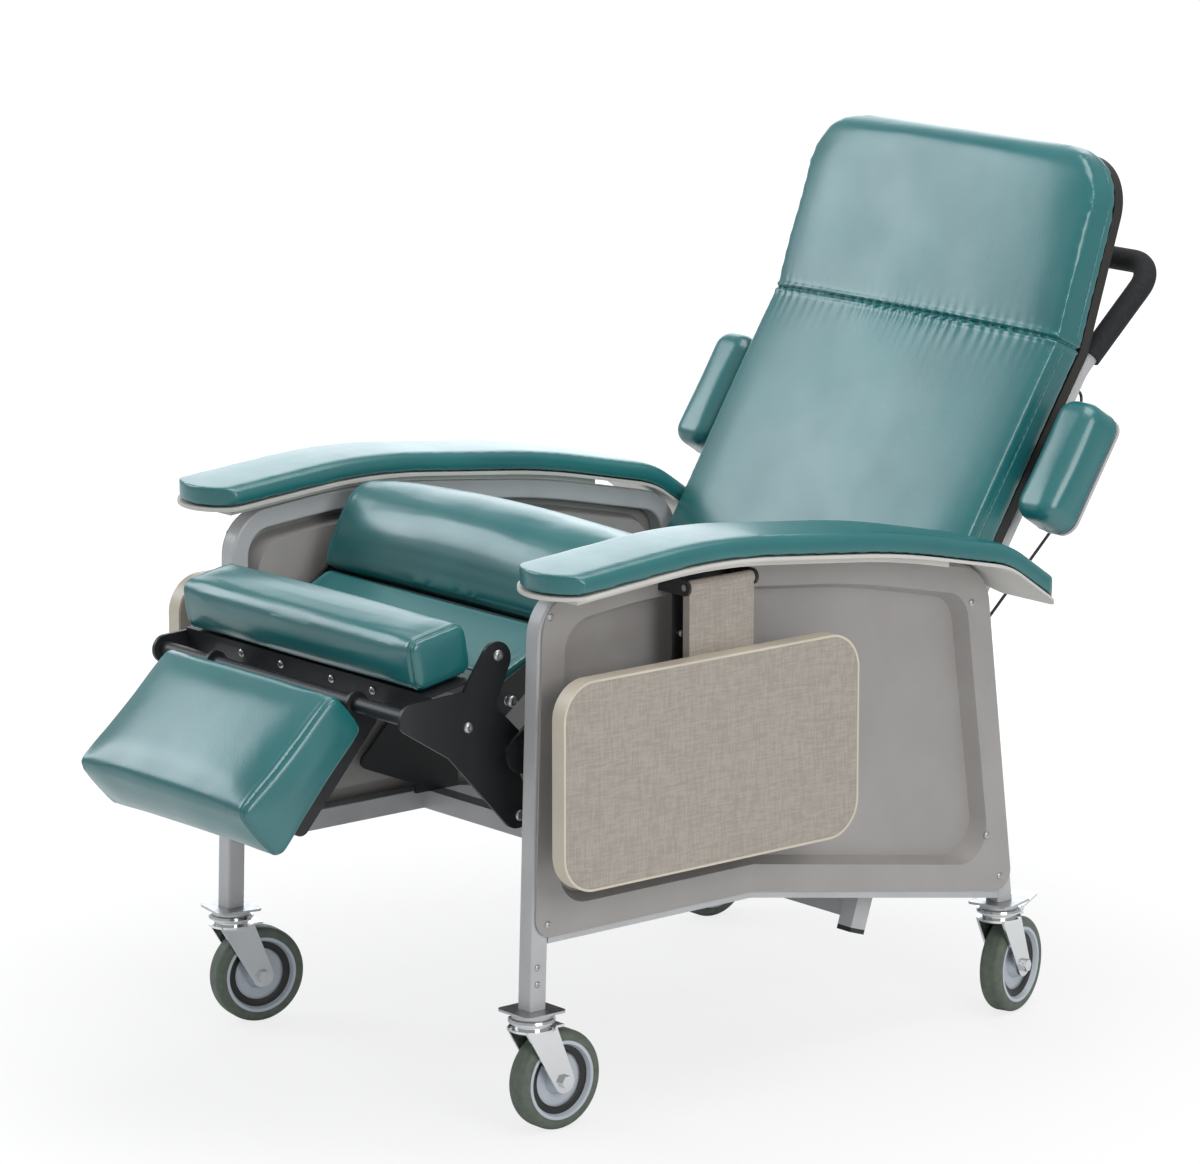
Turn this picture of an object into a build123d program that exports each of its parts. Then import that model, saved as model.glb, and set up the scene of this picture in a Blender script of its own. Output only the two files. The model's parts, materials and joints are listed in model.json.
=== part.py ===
"""A reclining care chair on four casters, in the half-reclined pose of its photograph.

Millimetres. The floor is Z = 0, the sitter faces -Y, and +X is the sitter's left. The origin
lies on the floor, halfway between the caster stems. Left and right are the sitter's.
"""

import os
from math import cos, radians, sin, tan

from build123d import *

# The chair as a whole
track = 610.0
wheelbase = 778.0
rest_gap = 0.2
running_gap = 0.3
pin_play = 0.05
overrun = 20.0

# Side frames, of square tube
tube = 25.0
tube_corner = 3.0
tube_wall = 2.0
leg_foot_height = 156.0
frame_bend = 47.5
front_corner_setback = 15.5
rear_corner_setback = 55.0

# Arm line: the underside of the arm pads, from the front end to the rear end
arm_front_setback = 2.0
arm_rear_reach = 5.0
arm_rear_height = 562.0
arm_rise = 135.0
arm_line_shares = [(0.0, 0.874), (0.278, 1.0), (0.649, 0.756), (0.887, 0.452), (1.0, 0.0)]
arm_crest_radius = 900.0
arm_slope_radius = 1200.0
arm_knee_radius = 120.0
arm_spread = 686.0
arm_width = 124.0
arm_nose = 32.0
arm_rear_corner = 22.0
arm_flange = 4.0
arm_boss = 8.0
arm_seat_gap = 0.5
arm_boss_width = 92.0
arm_boss_end = 92.0
arm_pad_thick = 27.0
arm_pad_round = 16.0

# Lower frame: two side rails and two cross tubes
rail_height = 250.0
rail_knee = -48.0
rail_drop_angle = 10.0
rail_knee_radius = 60.0
mid_tube_setback = 22.0
rear_tube_height = 232.0

# Side panels, moulded pans
panel_sheet = 3.5
panel_inset = 3.0
panel_rim = 38.0
panel_depth = 22.0
panel_draft = 8.0
panel_lower_edge = 243.0
panel_corner = 24.0
recess_corner = 42.0
panel_apex_radius = 30.0

# Mechanism plates, fixed to the frame beside the seat
mech_gap = 7.5
mech_plate = 5.0
mech_lobe = 26.0
mech_web = 44.0
mech_foot_width = 70.0
mech_nose = (-184.0, 318.0)
mech_nose_round = 10.0
mech_nose_reach = 48.0
seat_pivot = (150.0, 455.0)
pivot_pin = 12.0
pin_head = 20.0
pin_head_thick = 4.0

# Seat
seat_corner = (-222.0, 707.0)
seat_angle = 20.0
seat_length = 523.0
seat_thick = 125.0
seat_half_width = 262.0
seat_lean = 20.0
seat_radii = [10.0, 18.0, 24.0, 44.0]
seat_edge_round = 9.0
seat_crown = 12.0
seat_board = 12.0
seat_rail_gap = 6.0
seat_rail_sheet = 5.0
seat_rail_depth = 60.0
seat_rail_front = 40.0
seat_rail_end = 60.0
seat_rail_lobe = 24.0
seat_pivot_lobe = 22.0
seat_pin_clip = 3.0
seat_cross_tube = 20.0
flap_thick = 14.0
flap_half_width = 235.0
flap_end = (-384.0, 552.0)
flap_below = 0.5

# Back
back_corner = (308.0, 559.0)
back_angle = 33.0
back_below = 40.0
back_seam = 371.0
back_thick = 50.0
head_angle = 18.0
head_length = 260.0
back_half_width = 279.0
back_crown = 10.0
back_radii = [20.0, 14.0, 6.0, 5.0]
head_radii = [5.0, 6.0, 16.0, 30.0]
board_setback = 12.0
back_edge_round = 4.5
head_corner = 88.0
seam_gap = 1.0

# Back frame and push handle
back_tube_x = 252.0
back_tube_set = 78.0
back_pivot_below = 50.0
post_foot = (180.0, 145.0)
post_lean = 18.0
post_bend = 80.0
post_end = 30.0
handle_tube = 22.0
handle_start = 362.0
handle_top = 540.0
handle_set = 125.5
handle_bend = 42.0
grip_start_share = 0.12
grip_wall = 4.0
cross_plate = 5.0
cross_plate_height = 70.0
cross_plate_lift = 10.0
cap_thick = 6.0

# Release cable, in the back's own plane
cable = 4.0
cable_top = 338.0
cable_bow_top = 250.0
cable_bow_low = 165.0
cable_end = 12.0
cable_out = 20.0
cable_bow = 55.0
cable_aside = 20.0
cable_bend = 60.0
cable_turn = 9.0

# Wing pads
wing_middle = 222.0
wing_length = 173.0
wing_width = 72.0
wing_front = 16.0
wing_thick = 60.0
wing_gap = 18.0
wing_corner = 26.0
wing_dome = 22.0
wing_rear_round = 6.0
wing_plate = 4.0
wing_plate_inset = 4.0
wing_strap = 20.0
clamp_length = 50.0
clamp_half = 17.0

# Leg rest
leg_pivot = (-374.0, 464.0)
foot_pivot = (-527.0, 525.0)
leg_arm_x = 246.0
leg_arm_sheet = 5.0
leg_arm_rim = 8.0
leg_arm_lobe = 44.0
leg_arm_neck = 30.0
leg_arm_end = 22.0
leg_arm_upper = (-398.0, 580.0)
leg_arm_lower = (-366.0, 388.0)
leg_arm_mid = (-442.0, 503.0)
leg_tube = 20.0
calf_corner = (-517.0, 614.0)
calf_angle = -10.0
calf_length = 90.0
calf_thick = 68.0
calf_half_width = 236.0
calf_round = 16.0
calf_crown = 5.0
calf_edge_round = 12.0
channel_width = 72.0
channel_sheet = 3.0
channel_flange = 28.0

# Foot rest
foot_corner = (-724.0, 424.0)
foot_angle = -41.6
foot_length = 196.0
foot_thick_low = 94.0
foot_thick_high = 70.0
foot_half_width = 174.0
foot_round = 14.0
foot_edge_round = 12.0
foot_crown = 8.0
foot_arm_x = 140.0
foot_arm_width = 26.0
foot_arm_sheet = 5.0
foot_arm_over = 20.0
foot_arm_under = 60.0
foot_arm_lobe = 16.0

# Trays
tray_outer_x = 397.0
tray_front = -414.0
tray_length = 471.0
tray_drop = 258.0
tray_top = 576.0
tray_corner = 47.0
tray_thick = 22.0
tray_band = 3.0
tray_neck_width = 103.0
tray_neck_thick = 12.0
tray_neck_front = -200.0
tray_neck_lap = 90.0
tray_axis_height = 660.0
tray_pin = 8.0
tray_barrel = 16.0
tray_ear = 4.0
tray_bracket_sheet = 3.0
tray_bracket_height = 20.0
tray_stay_reach = 24.0
tray_stay_width = 16.0
tray_stay_drop = 98.0
tray_latch_below = 60.0
latch_length = 12.0
latch_rod = 6.0

# Casters
wheel = 125.0
tyre_width = 30.0
tyre_depth = 13.0
tyre_round = 8.0
hub_width = 32.0
hub_web = 10.0
hub_boss = 30.0
hub_rim = 4.0
axle = 10.0
axle_head = 17.0
axle_head_thick = 6.0
trail = 35.0
fork_sheet = 3.0
fork_gap = 1.0
fork_crown = 58.0
fork_cheek = 46.0
fork_foot = 30.0
fork_crown_clearance = 6.0
fork_lift = 4.0
raceway = 62.0
raceway_cup = 50.0
raceway_plate = 3.0
stem = 14.0
stem_length = 12.0
caster_headings = {"front_left": 0.0, "front_right": -11.0, "rear_left": 18.0, "rear_right": 0.0}
pedal_width = 34.0
pedal_length = 40.0
pedal_sheet = 3.0
pedal_pin = 4.0
pedal_rise_angle = 12.0


def side_plane(x):
    """The upright fore-and-aft plane at x. A sketch on it runs (Y, Z)."""
    return Plane.YZ.offset(x)


def tilted_plane(corner, angle, x=0.0):
    """A fore-and-aft plane at x, its first axis aimed rearward and angle degrees downward."""
    aim = (0, cos(radians(angle)), -sin(radians(angle)))
    return Plane(origin=(x, corner[0], corner[1]), x_dir=aim, z_dir=(1, 0, 0))


def tilted_point(corner, angle, along, up):
    """The (Y, Z) of a point of such a plane."""
    y = corner[0] + along * cos(radians(angle)) + up * sin(radians(angle))
    z = corner[1] - along * sin(radians(angle)) + up * cos(radians(angle))
    return (y, z)


def other_side(piece):
    """The same piece on the other side of the chair."""
    with BuildPart() as copy:
        mirror(piece.part, about=Plane.YZ)
    return copy


def group(*pieces):
    """Equal pieces kept together, each still a solid of its own."""
    return Compound(children=[solid for piece in pieces for solid in piece.part.solids()])


# Places that several pieces share
side_x = track / 2
inner_x = side_x - tube / 2
outer_x = side_x + tube / 2
stem_y = wheelbase / 2
arm_front = arm_front_setback - stem_y
arm_length = stem_y + arm_rear_reach - arm_front


def arm_points(lift=0.0):
    """The corners of the arm line, raised by lift."""
    return [
        (arm_front + along * arm_length, arm_rear_height + up * arm_rise + lift)
        for along, up in arm_line_shares
    ]


arm_radii = [arm_crest_radius, arm_slope_radius, arm_knee_radius]
arm_stack = arm_flange + arm_boss + arm_seat_gap
rail_line = arm_points(-arm_stack - tube / 2)
front_foot = (-stem_y, leg_foot_height)
front_corner = (-stem_y + front_corner_setback, rail_line[0][1])
rear_foot = (stem_y, leg_foot_height)
rail_fall = (arm_points()[2][1] - arm_points()[3][1]) / (arm_points()[3][0] - arm_points()[2][0])
rear_corner_y = stem_y - rear_corner_setback
rear_corner_height = rail_line[2][1] - (rear_corner_y - rail_line[2][0]) * rail_fall
rear_corner = (rear_corner_y, rear_corner_height)


def front_leg_y(z):
    """The middle of the front leg at height z."""
    share = (z - front_foot[1]) / (front_corner[1] - front_foot[1])
    return front_foot[0] + share * (front_corner[0] - front_foot[0])


def rear_leg_y(z):
    """The middle of the rear leg at height z."""
    share = (z - rear_foot[1]) / (rear_corner[1] - rear_foot[1])
    return rear_foot[0] + share * (rear_corner[0] - rear_foot[0])


# Side frame: one tube bent into both legs and the rail under the arm
with BuildPart() as side_frame_left:
    below_foot = leg_foot_height - tube
    with BuildLine(side_plane(side_x)) as frame_path:
        FilletPolyline(
            (front_leg_y(below_foot), below_foot),
            front_corner,
            rail_line[1],
            rail_line[2],
            rear_corner,
            (rear_leg_y(below_foot), below_foot),
            radius=[frame_bend, arm_crest_radius, arm_slope_radius, frame_bend],
        )
    with BuildSketch(Plane(frame_path.line @ 0, x_dir=(1, 0, 0), z_dir=frame_path.line % 0)):
        RectangleRounded(tube, tube, tube_corner)
        Rectangle(tube - 2 * tube_wall, tube - 2 * tube_wall, mode=Mode.SUBTRACT)
    sweep()
    split(bisect_by=Plane.XY.offset(leg_foot_height), keep=Keep.TOP)
side_frame_right = other_side(side_frame_left)


# Lower frame: a bent rail from leg to leg on each side, and the tube across
rail_end_height = rail_height - (stem_y - rail_knee) * tan(radians(rail_drop_angle))
mid_tube_y = rail_knee - mid_tube_setback
rear_tube_y = rear_leg_y(rear_tube_height)


def leg_plane(leg_y, side):
    """The face of a leg that looks along side, moved clear of the leg by the rest gap."""
    low = leg_y(leg_foot_height)
    lean = leg_y(rail_height) - low
    origin = (0, low + side * (tube / 2 + rest_gap), leg_foot_height)
    return Plane(origin=origin, z_dir=(0, side * (rail_height - leg_foot_height), -side * lean))


with BuildPart() as lower_frame:
    for x in (-side_x, side_x):
        with BuildLine(side_plane(x)) as rail_path:
            FilletPolyline(
                (-stem_y, rail_height), (rail_knee, rail_height), (stem_y, rail_end_height),
                radius=[rail_knee_radius],
            )
        with BuildSketch(Plane(rail_path.line @ 0, x_dir=(1, 0, 0), z_dir=rail_path.line % 0)):
            Rectangle(tube, tube)
        sweep()
    split(bisect_by=leg_plane(front_leg_y, 1), keep=Keep.TOP)
    split(bisect_by=leg_plane(rear_leg_y, -1), keep=Keep.TOP)
    with BuildSketch(Plane.YZ):
        with Locations((mid_tube_y, rail_height)):
            Rectangle(tube, tube)
    extrude(amount=inner_x, both=True)

with BuildPart() as rear_cross_tube:
    with BuildSketch(Plane.YZ):
        with Locations((rear_tube_y, rear_tube_height)):
            Rectangle(tube, tube)
    extrude(amount=inner_x - rest_gap, both=True)


# Side panel: a pan whose rim lies on the outside of the tubes
def panel_outline(inset):
    """The corners of the panel, each edge moved inward by inset."""
    edge = tube / 2 - inset
    low_front = panel_lower_edge + inset
    fall = tan(radians(rail_drop_angle))
    top = arm_points(-arm_stack - inset)
    front_y = front_leg_y(low_front) - edge
    front_top = front_leg_y(top[0][1]) - edge
    rear_top = rear_leg_y(rear_corner_height) + edge
    rear_fall = (rear_leg_y(panel_lower_edge) + edge - rail_knee) * fall
    rear_y = rear_leg_y(low_front - rear_fall) + edge
    top_slope = (rear_corner[1] - rail_line[2][1]) / (rear_corner[0] - rail_line[2][0])
    rear_top_height = top[2][1] + (rear_top - top[2][0]) * top_slope
    return [
        (front_y, low_front),
        (front_top, top[0][1]),
        top[1],
        top[2],
        (rear_top, rear_top_height),
        (rear_y, low_front - rear_fall),
        (rail_knee, low_front),
    ]


def panel_face(x, inset, low, high):
    """The panel's outline at x, with its lower and upper corner radii."""
    with BuildSketch(side_plane(x)) as sketch:
        with BuildLine():
            FilletPolyline(
                *panel_outline(inset),
                radius=[low, high, arm_crest_radius, arm_slope_radius, high, low, panel_apex_radius],
                close=True,
            )
        make_face()
    return sketch.sketch


rim_inner = outer_x + rest_gap
rim_outer = rim_inner + panel_sheet
field_outer = rim_outer - panel_depth
field_inner = field_outer - panel_sheet
rim_corner = frame_bend + tube / 2 - panel_inset

with BuildPart() as side_panel_left:
    extrude(panel_face(rim_inner, panel_inset, panel_corner, rim_corner), amount=panel_sheet)
    pan_back = panel_face(field_inner, panel_rim + panel_draft - panel_sheet, recess_corner, recess_corner)
    pan_mouth = panel_face(rim_outer, panel_rim - panel_sheet, recess_corner, recess_corner)
    loft([pan_back, pan_mouth], ruled=True)
    field = panel_face(field_outer, panel_rim + panel_draft, recess_corner, recess_corner)
    mouth = panel_face(rim_outer, panel_rim, recess_corner, recess_corner)
    loft([field, mouth], ruled=True, mode=Mode.SUBTRACT)
side_panel_right = other_side(side_panel_left)


# Armrests: a base board with a boss on the rail, and a padded top
def ribbon(x, lower, thick, radii):
    """A band of even height that starts on the corners lower and rises by thick."""
    upper = [(y, z + thick) for y, z in reversed(lower)]
    with BuildSketch(side_plane(x)) as sketch:
        with BuildLine():
            FilletPolyline(
                *lower, *upper, radius=[0.0, *radii, 0.0, 0.0, *reversed(radii), 0.0], close=True
            )
        make_face()
    return sketch.sketch


def arm_plan(x):
    """The armrest from above: a rounded nose, straight sides, rounded rear corners."""
    half = arm_width / 2
    rear = arm_front + arm_length
    with BuildSketch(Plane.XY.offset(arm_rear_height - arm_stack)) as sketch:
        with BuildLine():
            ThreePointArc((x - half, arm_front), (x, arm_front - arm_nose), (x + half, arm_front))
            FilletPolyline(
                (x + half, arm_front), (x + half, rear), (x - half, rear), (x - half, arm_front),
                radius=arm_rear_corner,
            )
        make_face()
    return sketch.sketch


def nosed(points):
    """The same line drawn out to the tip of the nose."""
    slope = (points[1][1] - points[0][1]) / (points[1][0] - points[0][0])
    tip = (points[0][0] - arm_nose, points[0][1] - slope * arm_nose)
    return [tip, *points[1:]]


arm_x = arm_spread / 2
arm_clear_height = 2 * arm_rise

with BuildPart() as arm_base_left:
    base_line = nosed(arm_points(-arm_flange))
    extrude(ribbon(arm_x - arm_width / 2, base_line, arm_flange, arm_radii), amount=arm_width)
    extrude(arm_plan(arm_x), amount=arm_clear_height, mode=Mode.INTERSECT)
    boss_line = arm_points(-arm_flange - arm_boss)[:3]
    boss_slope = (arm_points()[3][1] - boss_line[2][1] - arm_flange - arm_boss) / (
        arm_points()[3][0] - boss_line[2][0]
    )
    boss_end = arm_points()[3][0] - arm_boss_end
    boss_line.append((boss_end, boss_line[2][1] + (boss_end - boss_line[2][0]) * boss_slope))
    boss = ribbon(arm_x - arm_boss_width / 2, boss_line, arm_boss, arm_radii[:2])
    extrude(boss, amount=arm_boss_width)
arm_base_right = other_side(arm_base_left)

with BuildPart() as arm_pad_left:
    pad_line = nosed(arm_points(rest_gap))
    with BuildLine(side_plane(arm_x)) as pad_path:
        FilletPolyline(*pad_line, radius=arm_radii)
    with BuildSketch(Plane(pad_path.line @ 0, x_dir=(1, 0, 0), z_dir=pad_path.line % 0)) as section:
        half = arm_width / 2
        side = arm_pad_thick - arm_pad_round
        with BuildLine():
            Line((-half, 0), (half, 0))
            Line((half, 0), (half, -side))
            RadiusArc((half, -side), (half - arm_pad_round, -arm_pad_thick + rest_gap), arm_pad_round)
            ThreePointArc(
                (half - arm_pad_round, -arm_pad_thick + rest_gap),
                (0, -arm_pad_thick - 2 * rest_gap),
                (-half + arm_pad_round, -arm_pad_thick + rest_gap),
            )
            RadiusArc((-half + arm_pad_round, -arm_pad_thick + rest_gap), (-half, -side), arm_pad_round)
            Line((-half, -side), (-half, 0))
        make_face()
    sweep()
    extrude(arm_plan(arm_x), amount=arm_clear_height, mode=Mode.INTERSECT)
arm_pad_right = other_side(arm_pad_left)

# Mechanism plates: from the mid tube up to the seat's hinge and on to the back's hinge
def strap(x, *lobes):
    """The outline at x of a plate stretched round lobes, each a (place, radius)."""
    with BuildSketch(side_plane(x)) as sketch:
        for place, radius in lobes:
            with Locations(place):
                Circle(radius)
        make_hull()
    return sketch.sketch


def bore(x, place, diameter, depth):
    """Cut a bore along X through the active part, from x outward."""
    with BuildSketch(side_plane(x)) as sketch:
        with Locations(place):
            Circle(diameter / 2)
    extrude(sketch.sketch, amount=depth, mode=Mode.SUBTRACT)


back_pivot = tilted_point(back_corner, back_angle, back_tube_set, -back_pivot_below)
mech_inner = inner_x - mech_gap - mech_plate
mech_foot = rail_height + tube / 2 + rest_gap

with BuildPart() as mech_plate_left:
    seat_lobe = (seat_pivot, mech_lobe)
    foot_lobe = ((mid_tube_y, mech_foot + mech_web / 2), mech_web / 2)
    nose_low = ((mech_nose[0], mech_nose[1]), mech_nose_round)
    nose_high = ((mech_nose[0] + mech_nose_reach, mech_nose[1] + mech_nose_reach), mech_nose_round)
    extrude(strap(mech_inner, seat_lobe, (back_pivot, mech_lobe)), amount=mech_plate)
    extrude(strap(mech_inner, seat_lobe, foot_lobe), amount=mech_plate)
    extrude(strap(mech_inner, nose_low, nose_high, foot_lobe), amount=mech_plate)
    with BuildSketch(side_plane(mech_inner)):
        with Locations((mid_tube_y, mech_foot)):
            Rectangle(mech_foot_width, mech_web / 2, align=(Align.CENTER, Align.MIN))
    extrude(amount=mech_plate)
mech_plate_right = other_side(mech_plate_left)


# Hinge pins of the seat and the back, each with its head and its spacer collars
def pin(place, start, end, diameter):
    """Add a round bar along X to the active part, between two distances from the middle."""
    with BuildSketch(side_plane(start)) as sketch:
        with Locations(place):
            Circle(diameter / 2)
    extrude(sketch.sketch, amount=end - start)


seat_rail_inner = seat_half_width + seat_rail_gap
seat_rail_outer = seat_rail_inner + seat_rail_sheet
post_outer = back_tube_x + tube / 2
post_inner = back_tube_x - tube / 2

with BuildPart() as seat_pin:
    pin(seat_pivot, seat_rail_inner - running_gap, mech_inner - rest_gap, pivot_pin)
    pin(seat_pivot, seat_rail_outer + running_gap, mech_inner - rest_gap, pin_head)
    pin(seat_pivot, seat_rail_inner - running_gap - seat_pin_clip, seat_rail_inner - running_gap, pin_head)

with BuildPart() as back_pin:
    pin(back_pivot, post_inner - running_gap, mech_inner - rest_gap, pivot_pin)
    pin(back_pivot, post_outer + running_gap, mech_inner - rest_gap, pin_head)
    pin(back_pivot, post_inner - running_gap - pin_head_thick, post_inner - running_gap, pin_head)

# Stand-off bolts between the mechanism plates and the frame
with BuildPart() as rear_standoff:
    pin(back_pivot, mech_inner + mech_plate + rest_gap, inner_x - rest_gap, pin_head)

# Seat: a steel frame of two side rails and two cross tubes, a board and the cushion
def seat_point(along, up):
    """A point of the seat, along its top from the front corner and square to it."""
    return tilted_point(seat_corner, seat_angle, along, up)


board_top = -seat_thick - rest_gap
board_low = board_top - seat_board
cross_up = board_low - rest_gap - seat_cross_tube / 2
rail_up = cross_up + seat_rail_depth / 2 - seat_cross_tube / 2

with BuildPart() as seat_frame:
    for x in (-seat_rail_outer, seat_rail_inner):
        front_lobe = (seat_point(seat_rail_front, rail_up), seat_rail_depth / 2)
        rear_lobe = (seat_point(seat_length - seat_rail_end, rail_up), seat_rail_depth / 2)
        extrude(strap(x, front_lobe, rear_lobe), amount=seat_rail_sheet)
        extrude(strap(x, (seat_pivot, seat_pivot_lobe), rear_lobe), amount=seat_rail_sheet)
        extrude(strap(x, front_lobe, (leg_pivot, seat_rail_lobe)), amount=seat_rail_sheet)
        bore(x - overrun, seat_pivot, pivot_pin + 2 * pin_play, seat_rail_sheet + 2 * overrun)
    with BuildSketch(tilted_plane(seat_corner, seat_angle)):
        with Locations((seat_rail_front, cross_up), (seat_length - seat_rail_end, cross_up)):
            Rectangle(seat_cross_tube, seat_cross_tube)
    extrude(amount=seat_rail_inner, both=True)

with BuildPart() as seat_base:
    with BuildSketch(tilted_plane(seat_corner, seat_angle)):
        with Locations((0, board_low)):
            Rectangle(seat_length - seat_board, seat_board, align=Align.MIN)
    extrude(amount=seat_half_width - seat_board, both=True)


# Cushions: sections across the chair, the middle one swollen, then rolled edges
def padded(plane_at, outline, radii, half_width, crown):
    """Loft a cushion across the chair. outline(swell) gives the corners of a section."""
    sections = []
    for x, swell in ((-half_width, 0), (0, crown), (half_width, 0)):
        with BuildSketch(plane_at(x)) as sketch:
            with BuildLine():
                FilletPolyline(*outline(swell), radius=radii, close=True)
            make_face()
        sections.append(sketch.sketch)
    loft(sections)


def roll_ends(radius):
    """Round the edges of both ends of the active cushion."""
    ends = faces().sort_by(Axis.X)
    fillet(ends[0].edges() + ends[-1].edges(), radius)


def seat_plane(x):
    """The side view of the seat at x."""
    return tilted_plane(seat_corner, seat_angle, x)


def seat_outline(swell):
    """The seat cushion from the side."""
    rear_low = (seat_length - seat_lean, -seat_thick)
    return [(-seat_lean, -seat_thick), rear_low, (seat_length, swell), (-swell, swell)]


with BuildPart() as seat_cushion:
    padded(seat_plane, seat_outline, seat_radii, seat_half_width, seat_crown)
    roll_ends(seat_edge_round)

# Flap: the padded apron that closes the gap between the seat and the leg rest
with BuildPart() as seat_flap:
    with BuildSketch(side_plane(0)):
        with BuildLine():
            FilletPolyline(
                seat_point(-running_gap, -seat_thick - flap_below),
                seat_point(-seat_lean, -seat_thick - flap_below),
                flap_end,
                (flap_end[0] + flap_thick / 2, flap_end[1] - flap_thick),
                seat_point(-seat_lean, -seat_thick - flap_below - flap_thick),
                seat_point(-running_gap, -seat_thick - flap_below - flap_thick),
                radius=flap_thick / 3,
                close=True,
            )
        make_face()
    extrude(amount=flap_half_width, both=True)


head_lean = back_angle - head_angle
seam_slope = tan(radians(head_lean / 2))
seam_rise = back_thick * seam_slope
head_corner_place = tilted_point(back_corner, back_angle, 0, back_seam)


def back_plane(x):
    """The side view of the back at x: rearward from its face, and up along it."""
    return tilted_plane(back_corner, back_angle, x)


def head_plane(x):
    """The side view of the head section at x, from the seam up."""
    return tilted_plane(head_corner_place, head_angle, x)


def back_outline(swell):
    """The back cushion from the side."""
    seam = back_seam - seam_gap / 2
    seam_front = (-swell, seam - swell * seam_slope)
    return [(-swell, -back_below), (back_thick, -back_below), (back_thick, seam + seam_rise), seam_front]


def head_outline(swell):
    """The head cushion from the side."""
    seam_front = (-swell, seam_gap / 2 + swell * seam_slope)
    seam_rear = (back_thick, seam_gap / 2 - seam_rise)
    return [seam_front, seam_rear, (back_thick, head_length), (-swell, head_length)]


with BuildPart() as back_cushion:
    padded(back_plane, back_outline, back_radii, back_half_width, back_crown)
    roll_ends(back_edge_round)

with BuildPart() as head_cushion:
    padded(head_plane, head_outline, head_radii, back_half_width, back_crown)
    head_face = Plane(
        origin=(0, head_corner_place[0], head_corner_place[1]),
        x_dir=(1, 0, 0),
        z_dir=(0, -cos(radians(head_angle)), sin(radians(head_angle))),
    )
    with BuildSketch(head_face):
        with BuildLine():
            FilletPolyline(
                (-back_half_width, -back_thick),
                (back_half_width, -back_thick),
                (back_half_width, head_length),
                (-back_half_width, head_length),
                radius=[0, 0, head_corner, head_corner],
                close=True,
            )
        make_face()
    extrude(amount=2 * back_thick, both=True, mode=Mode.INTERSECT)

# Board behind both cushions, bent with them
board_front = back_thick + rest_gap
board_rear = back_tube_set - tube / 2 - rest_gap
back_board = board_rear - board_front
board_rise = board_rear * seam_slope
with BuildPart() as back_board_panel:
    with BuildSketch(back_plane(0)):
        with Locations((board_front, board_setback - back_below)):
            Rectangle(back_board, back_seam + back_below - board_setback + board_rise, align=Align.MIN)
    extrude(amount=back_half_width - board_setback, both=True)
    with BuildSketch(head_face.offset(-board_rear)):
        with BuildLine():
            board_half = back_half_width - board_setback
            FilletPolyline(
                (-board_half, -board_rise),
                (board_half, -board_rise),
                (board_half, head_length - board_setback),
                (-board_half, head_length - board_setback),
                radius=[0, 0, head_corner - board_setback, head_corner - board_setback],
                close=True,
            )
        make_face()
    extrude(amount=back_board)


# Back frame: two posts with a plate between them, and one round tube up, round and down
back_side = tilted_plane(back_corner, back_angle)
post_run_y, post_run_z = post_foot
joint_rise = (back_pivot[0] - post_run_y - (back_pivot[1] - post_run_z) * tan(radians(back_angle))) / (
    tan(radians(post_lean)) - tan(radians(back_angle))
)
post_knee = (post_run_y + joint_rise * tan(radians(post_lean)), post_run_z + joint_rise)
post_top = tilted_point(back_corner, back_angle, back_tube_set, post_end)
handle_points = [
    (back_tube_set, 0, back_tube_x),
    (back_tube_set, handle_start, back_tube_x),
    (handle_set, handle_top, back_tube_x),
    (handle_set, handle_top, -back_tube_x),
    (back_tube_set, handle_start, -back_tube_x),
    (back_tube_set, 0, -back_tube_x),
]
plate_low = (
    post_foot[0] + cross_plate_lift * tan(radians(post_lean)),
    post_foot[1] + cross_plate_lift,
)

with BuildPart() as back_frame:
    for x in (-back_tube_x, back_tube_x):
        with BuildLine(side_plane(x)) as post_path:
            FilletPolyline(post_foot, post_knee, post_top, radius=[post_bend])
        with BuildSketch(Plane(post_path.line @ 0, x_dir=(1, 0, 0), z_dir=post_path.line % 0)):
            Rectangle(tube, tube)
        sweep()
        bore(x - tube, back_pivot, pivot_pin + 2 * pin_play, 2 * tube)
    with BuildLine(back_side) as handle_path:
        FilletPolyline(*handle_points, radius=[post_bend, handle_bend, handle_bend, post_bend])
    with BuildSketch(Plane(handle_path.line @ 0, z_dir=handle_path.line % 0)):
        Circle(handle_tube / 2)
    sweep()
    with BuildSketch(tilted_plane(plate_low, post_lean)):
        Rectangle(cross_plate, cross_plate_height, align=(Align.CENTER, Align.MIN))
    extrude(amount=post_inner, both=True)

# Foam grip on the handle
lean_along = (handle_set - back_tube_set) * grip_start_share
lean_up = (handle_top - handle_start) * grip_start_share
grip_points = [
    (back_tube_set + lean_along, handle_start + lean_up, back_tube_x),
    (handle_set, handle_top, back_tube_x),
    (handle_set, handle_top, -back_tube_x),
    (back_tube_set + lean_along, handle_start + lean_up, -back_tube_x),
]
with BuildPart() as handle_grip:
    with BuildLine(back_side) as grip_path:
        FilletPolyline(*grip_points, radius=handle_bend)
    with BuildSketch(Plane(grip_path.line @ 0, z_dir=grip_path.line % 0)):
        Circle(handle_tube / 2 + rest_gap / 2 + grip_wall)
        Circle(handle_tube / 2 + rest_gap / 2, mode=Mode.SUBTRACT)
    sweep()

# End caps of the posts
with BuildPart() as post_cap:
    with BuildSketch(Plane(
        origin=(back_tube_x, post_foot[0], post_foot[1]),
        x_dir=(1, 0, 0),
        z_dir=(0, -sin(radians(post_lean)), -cos(radians(post_lean))),
    )):
        Rectangle(tube, tube)
    extrude(amount=cap_thick)

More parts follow.
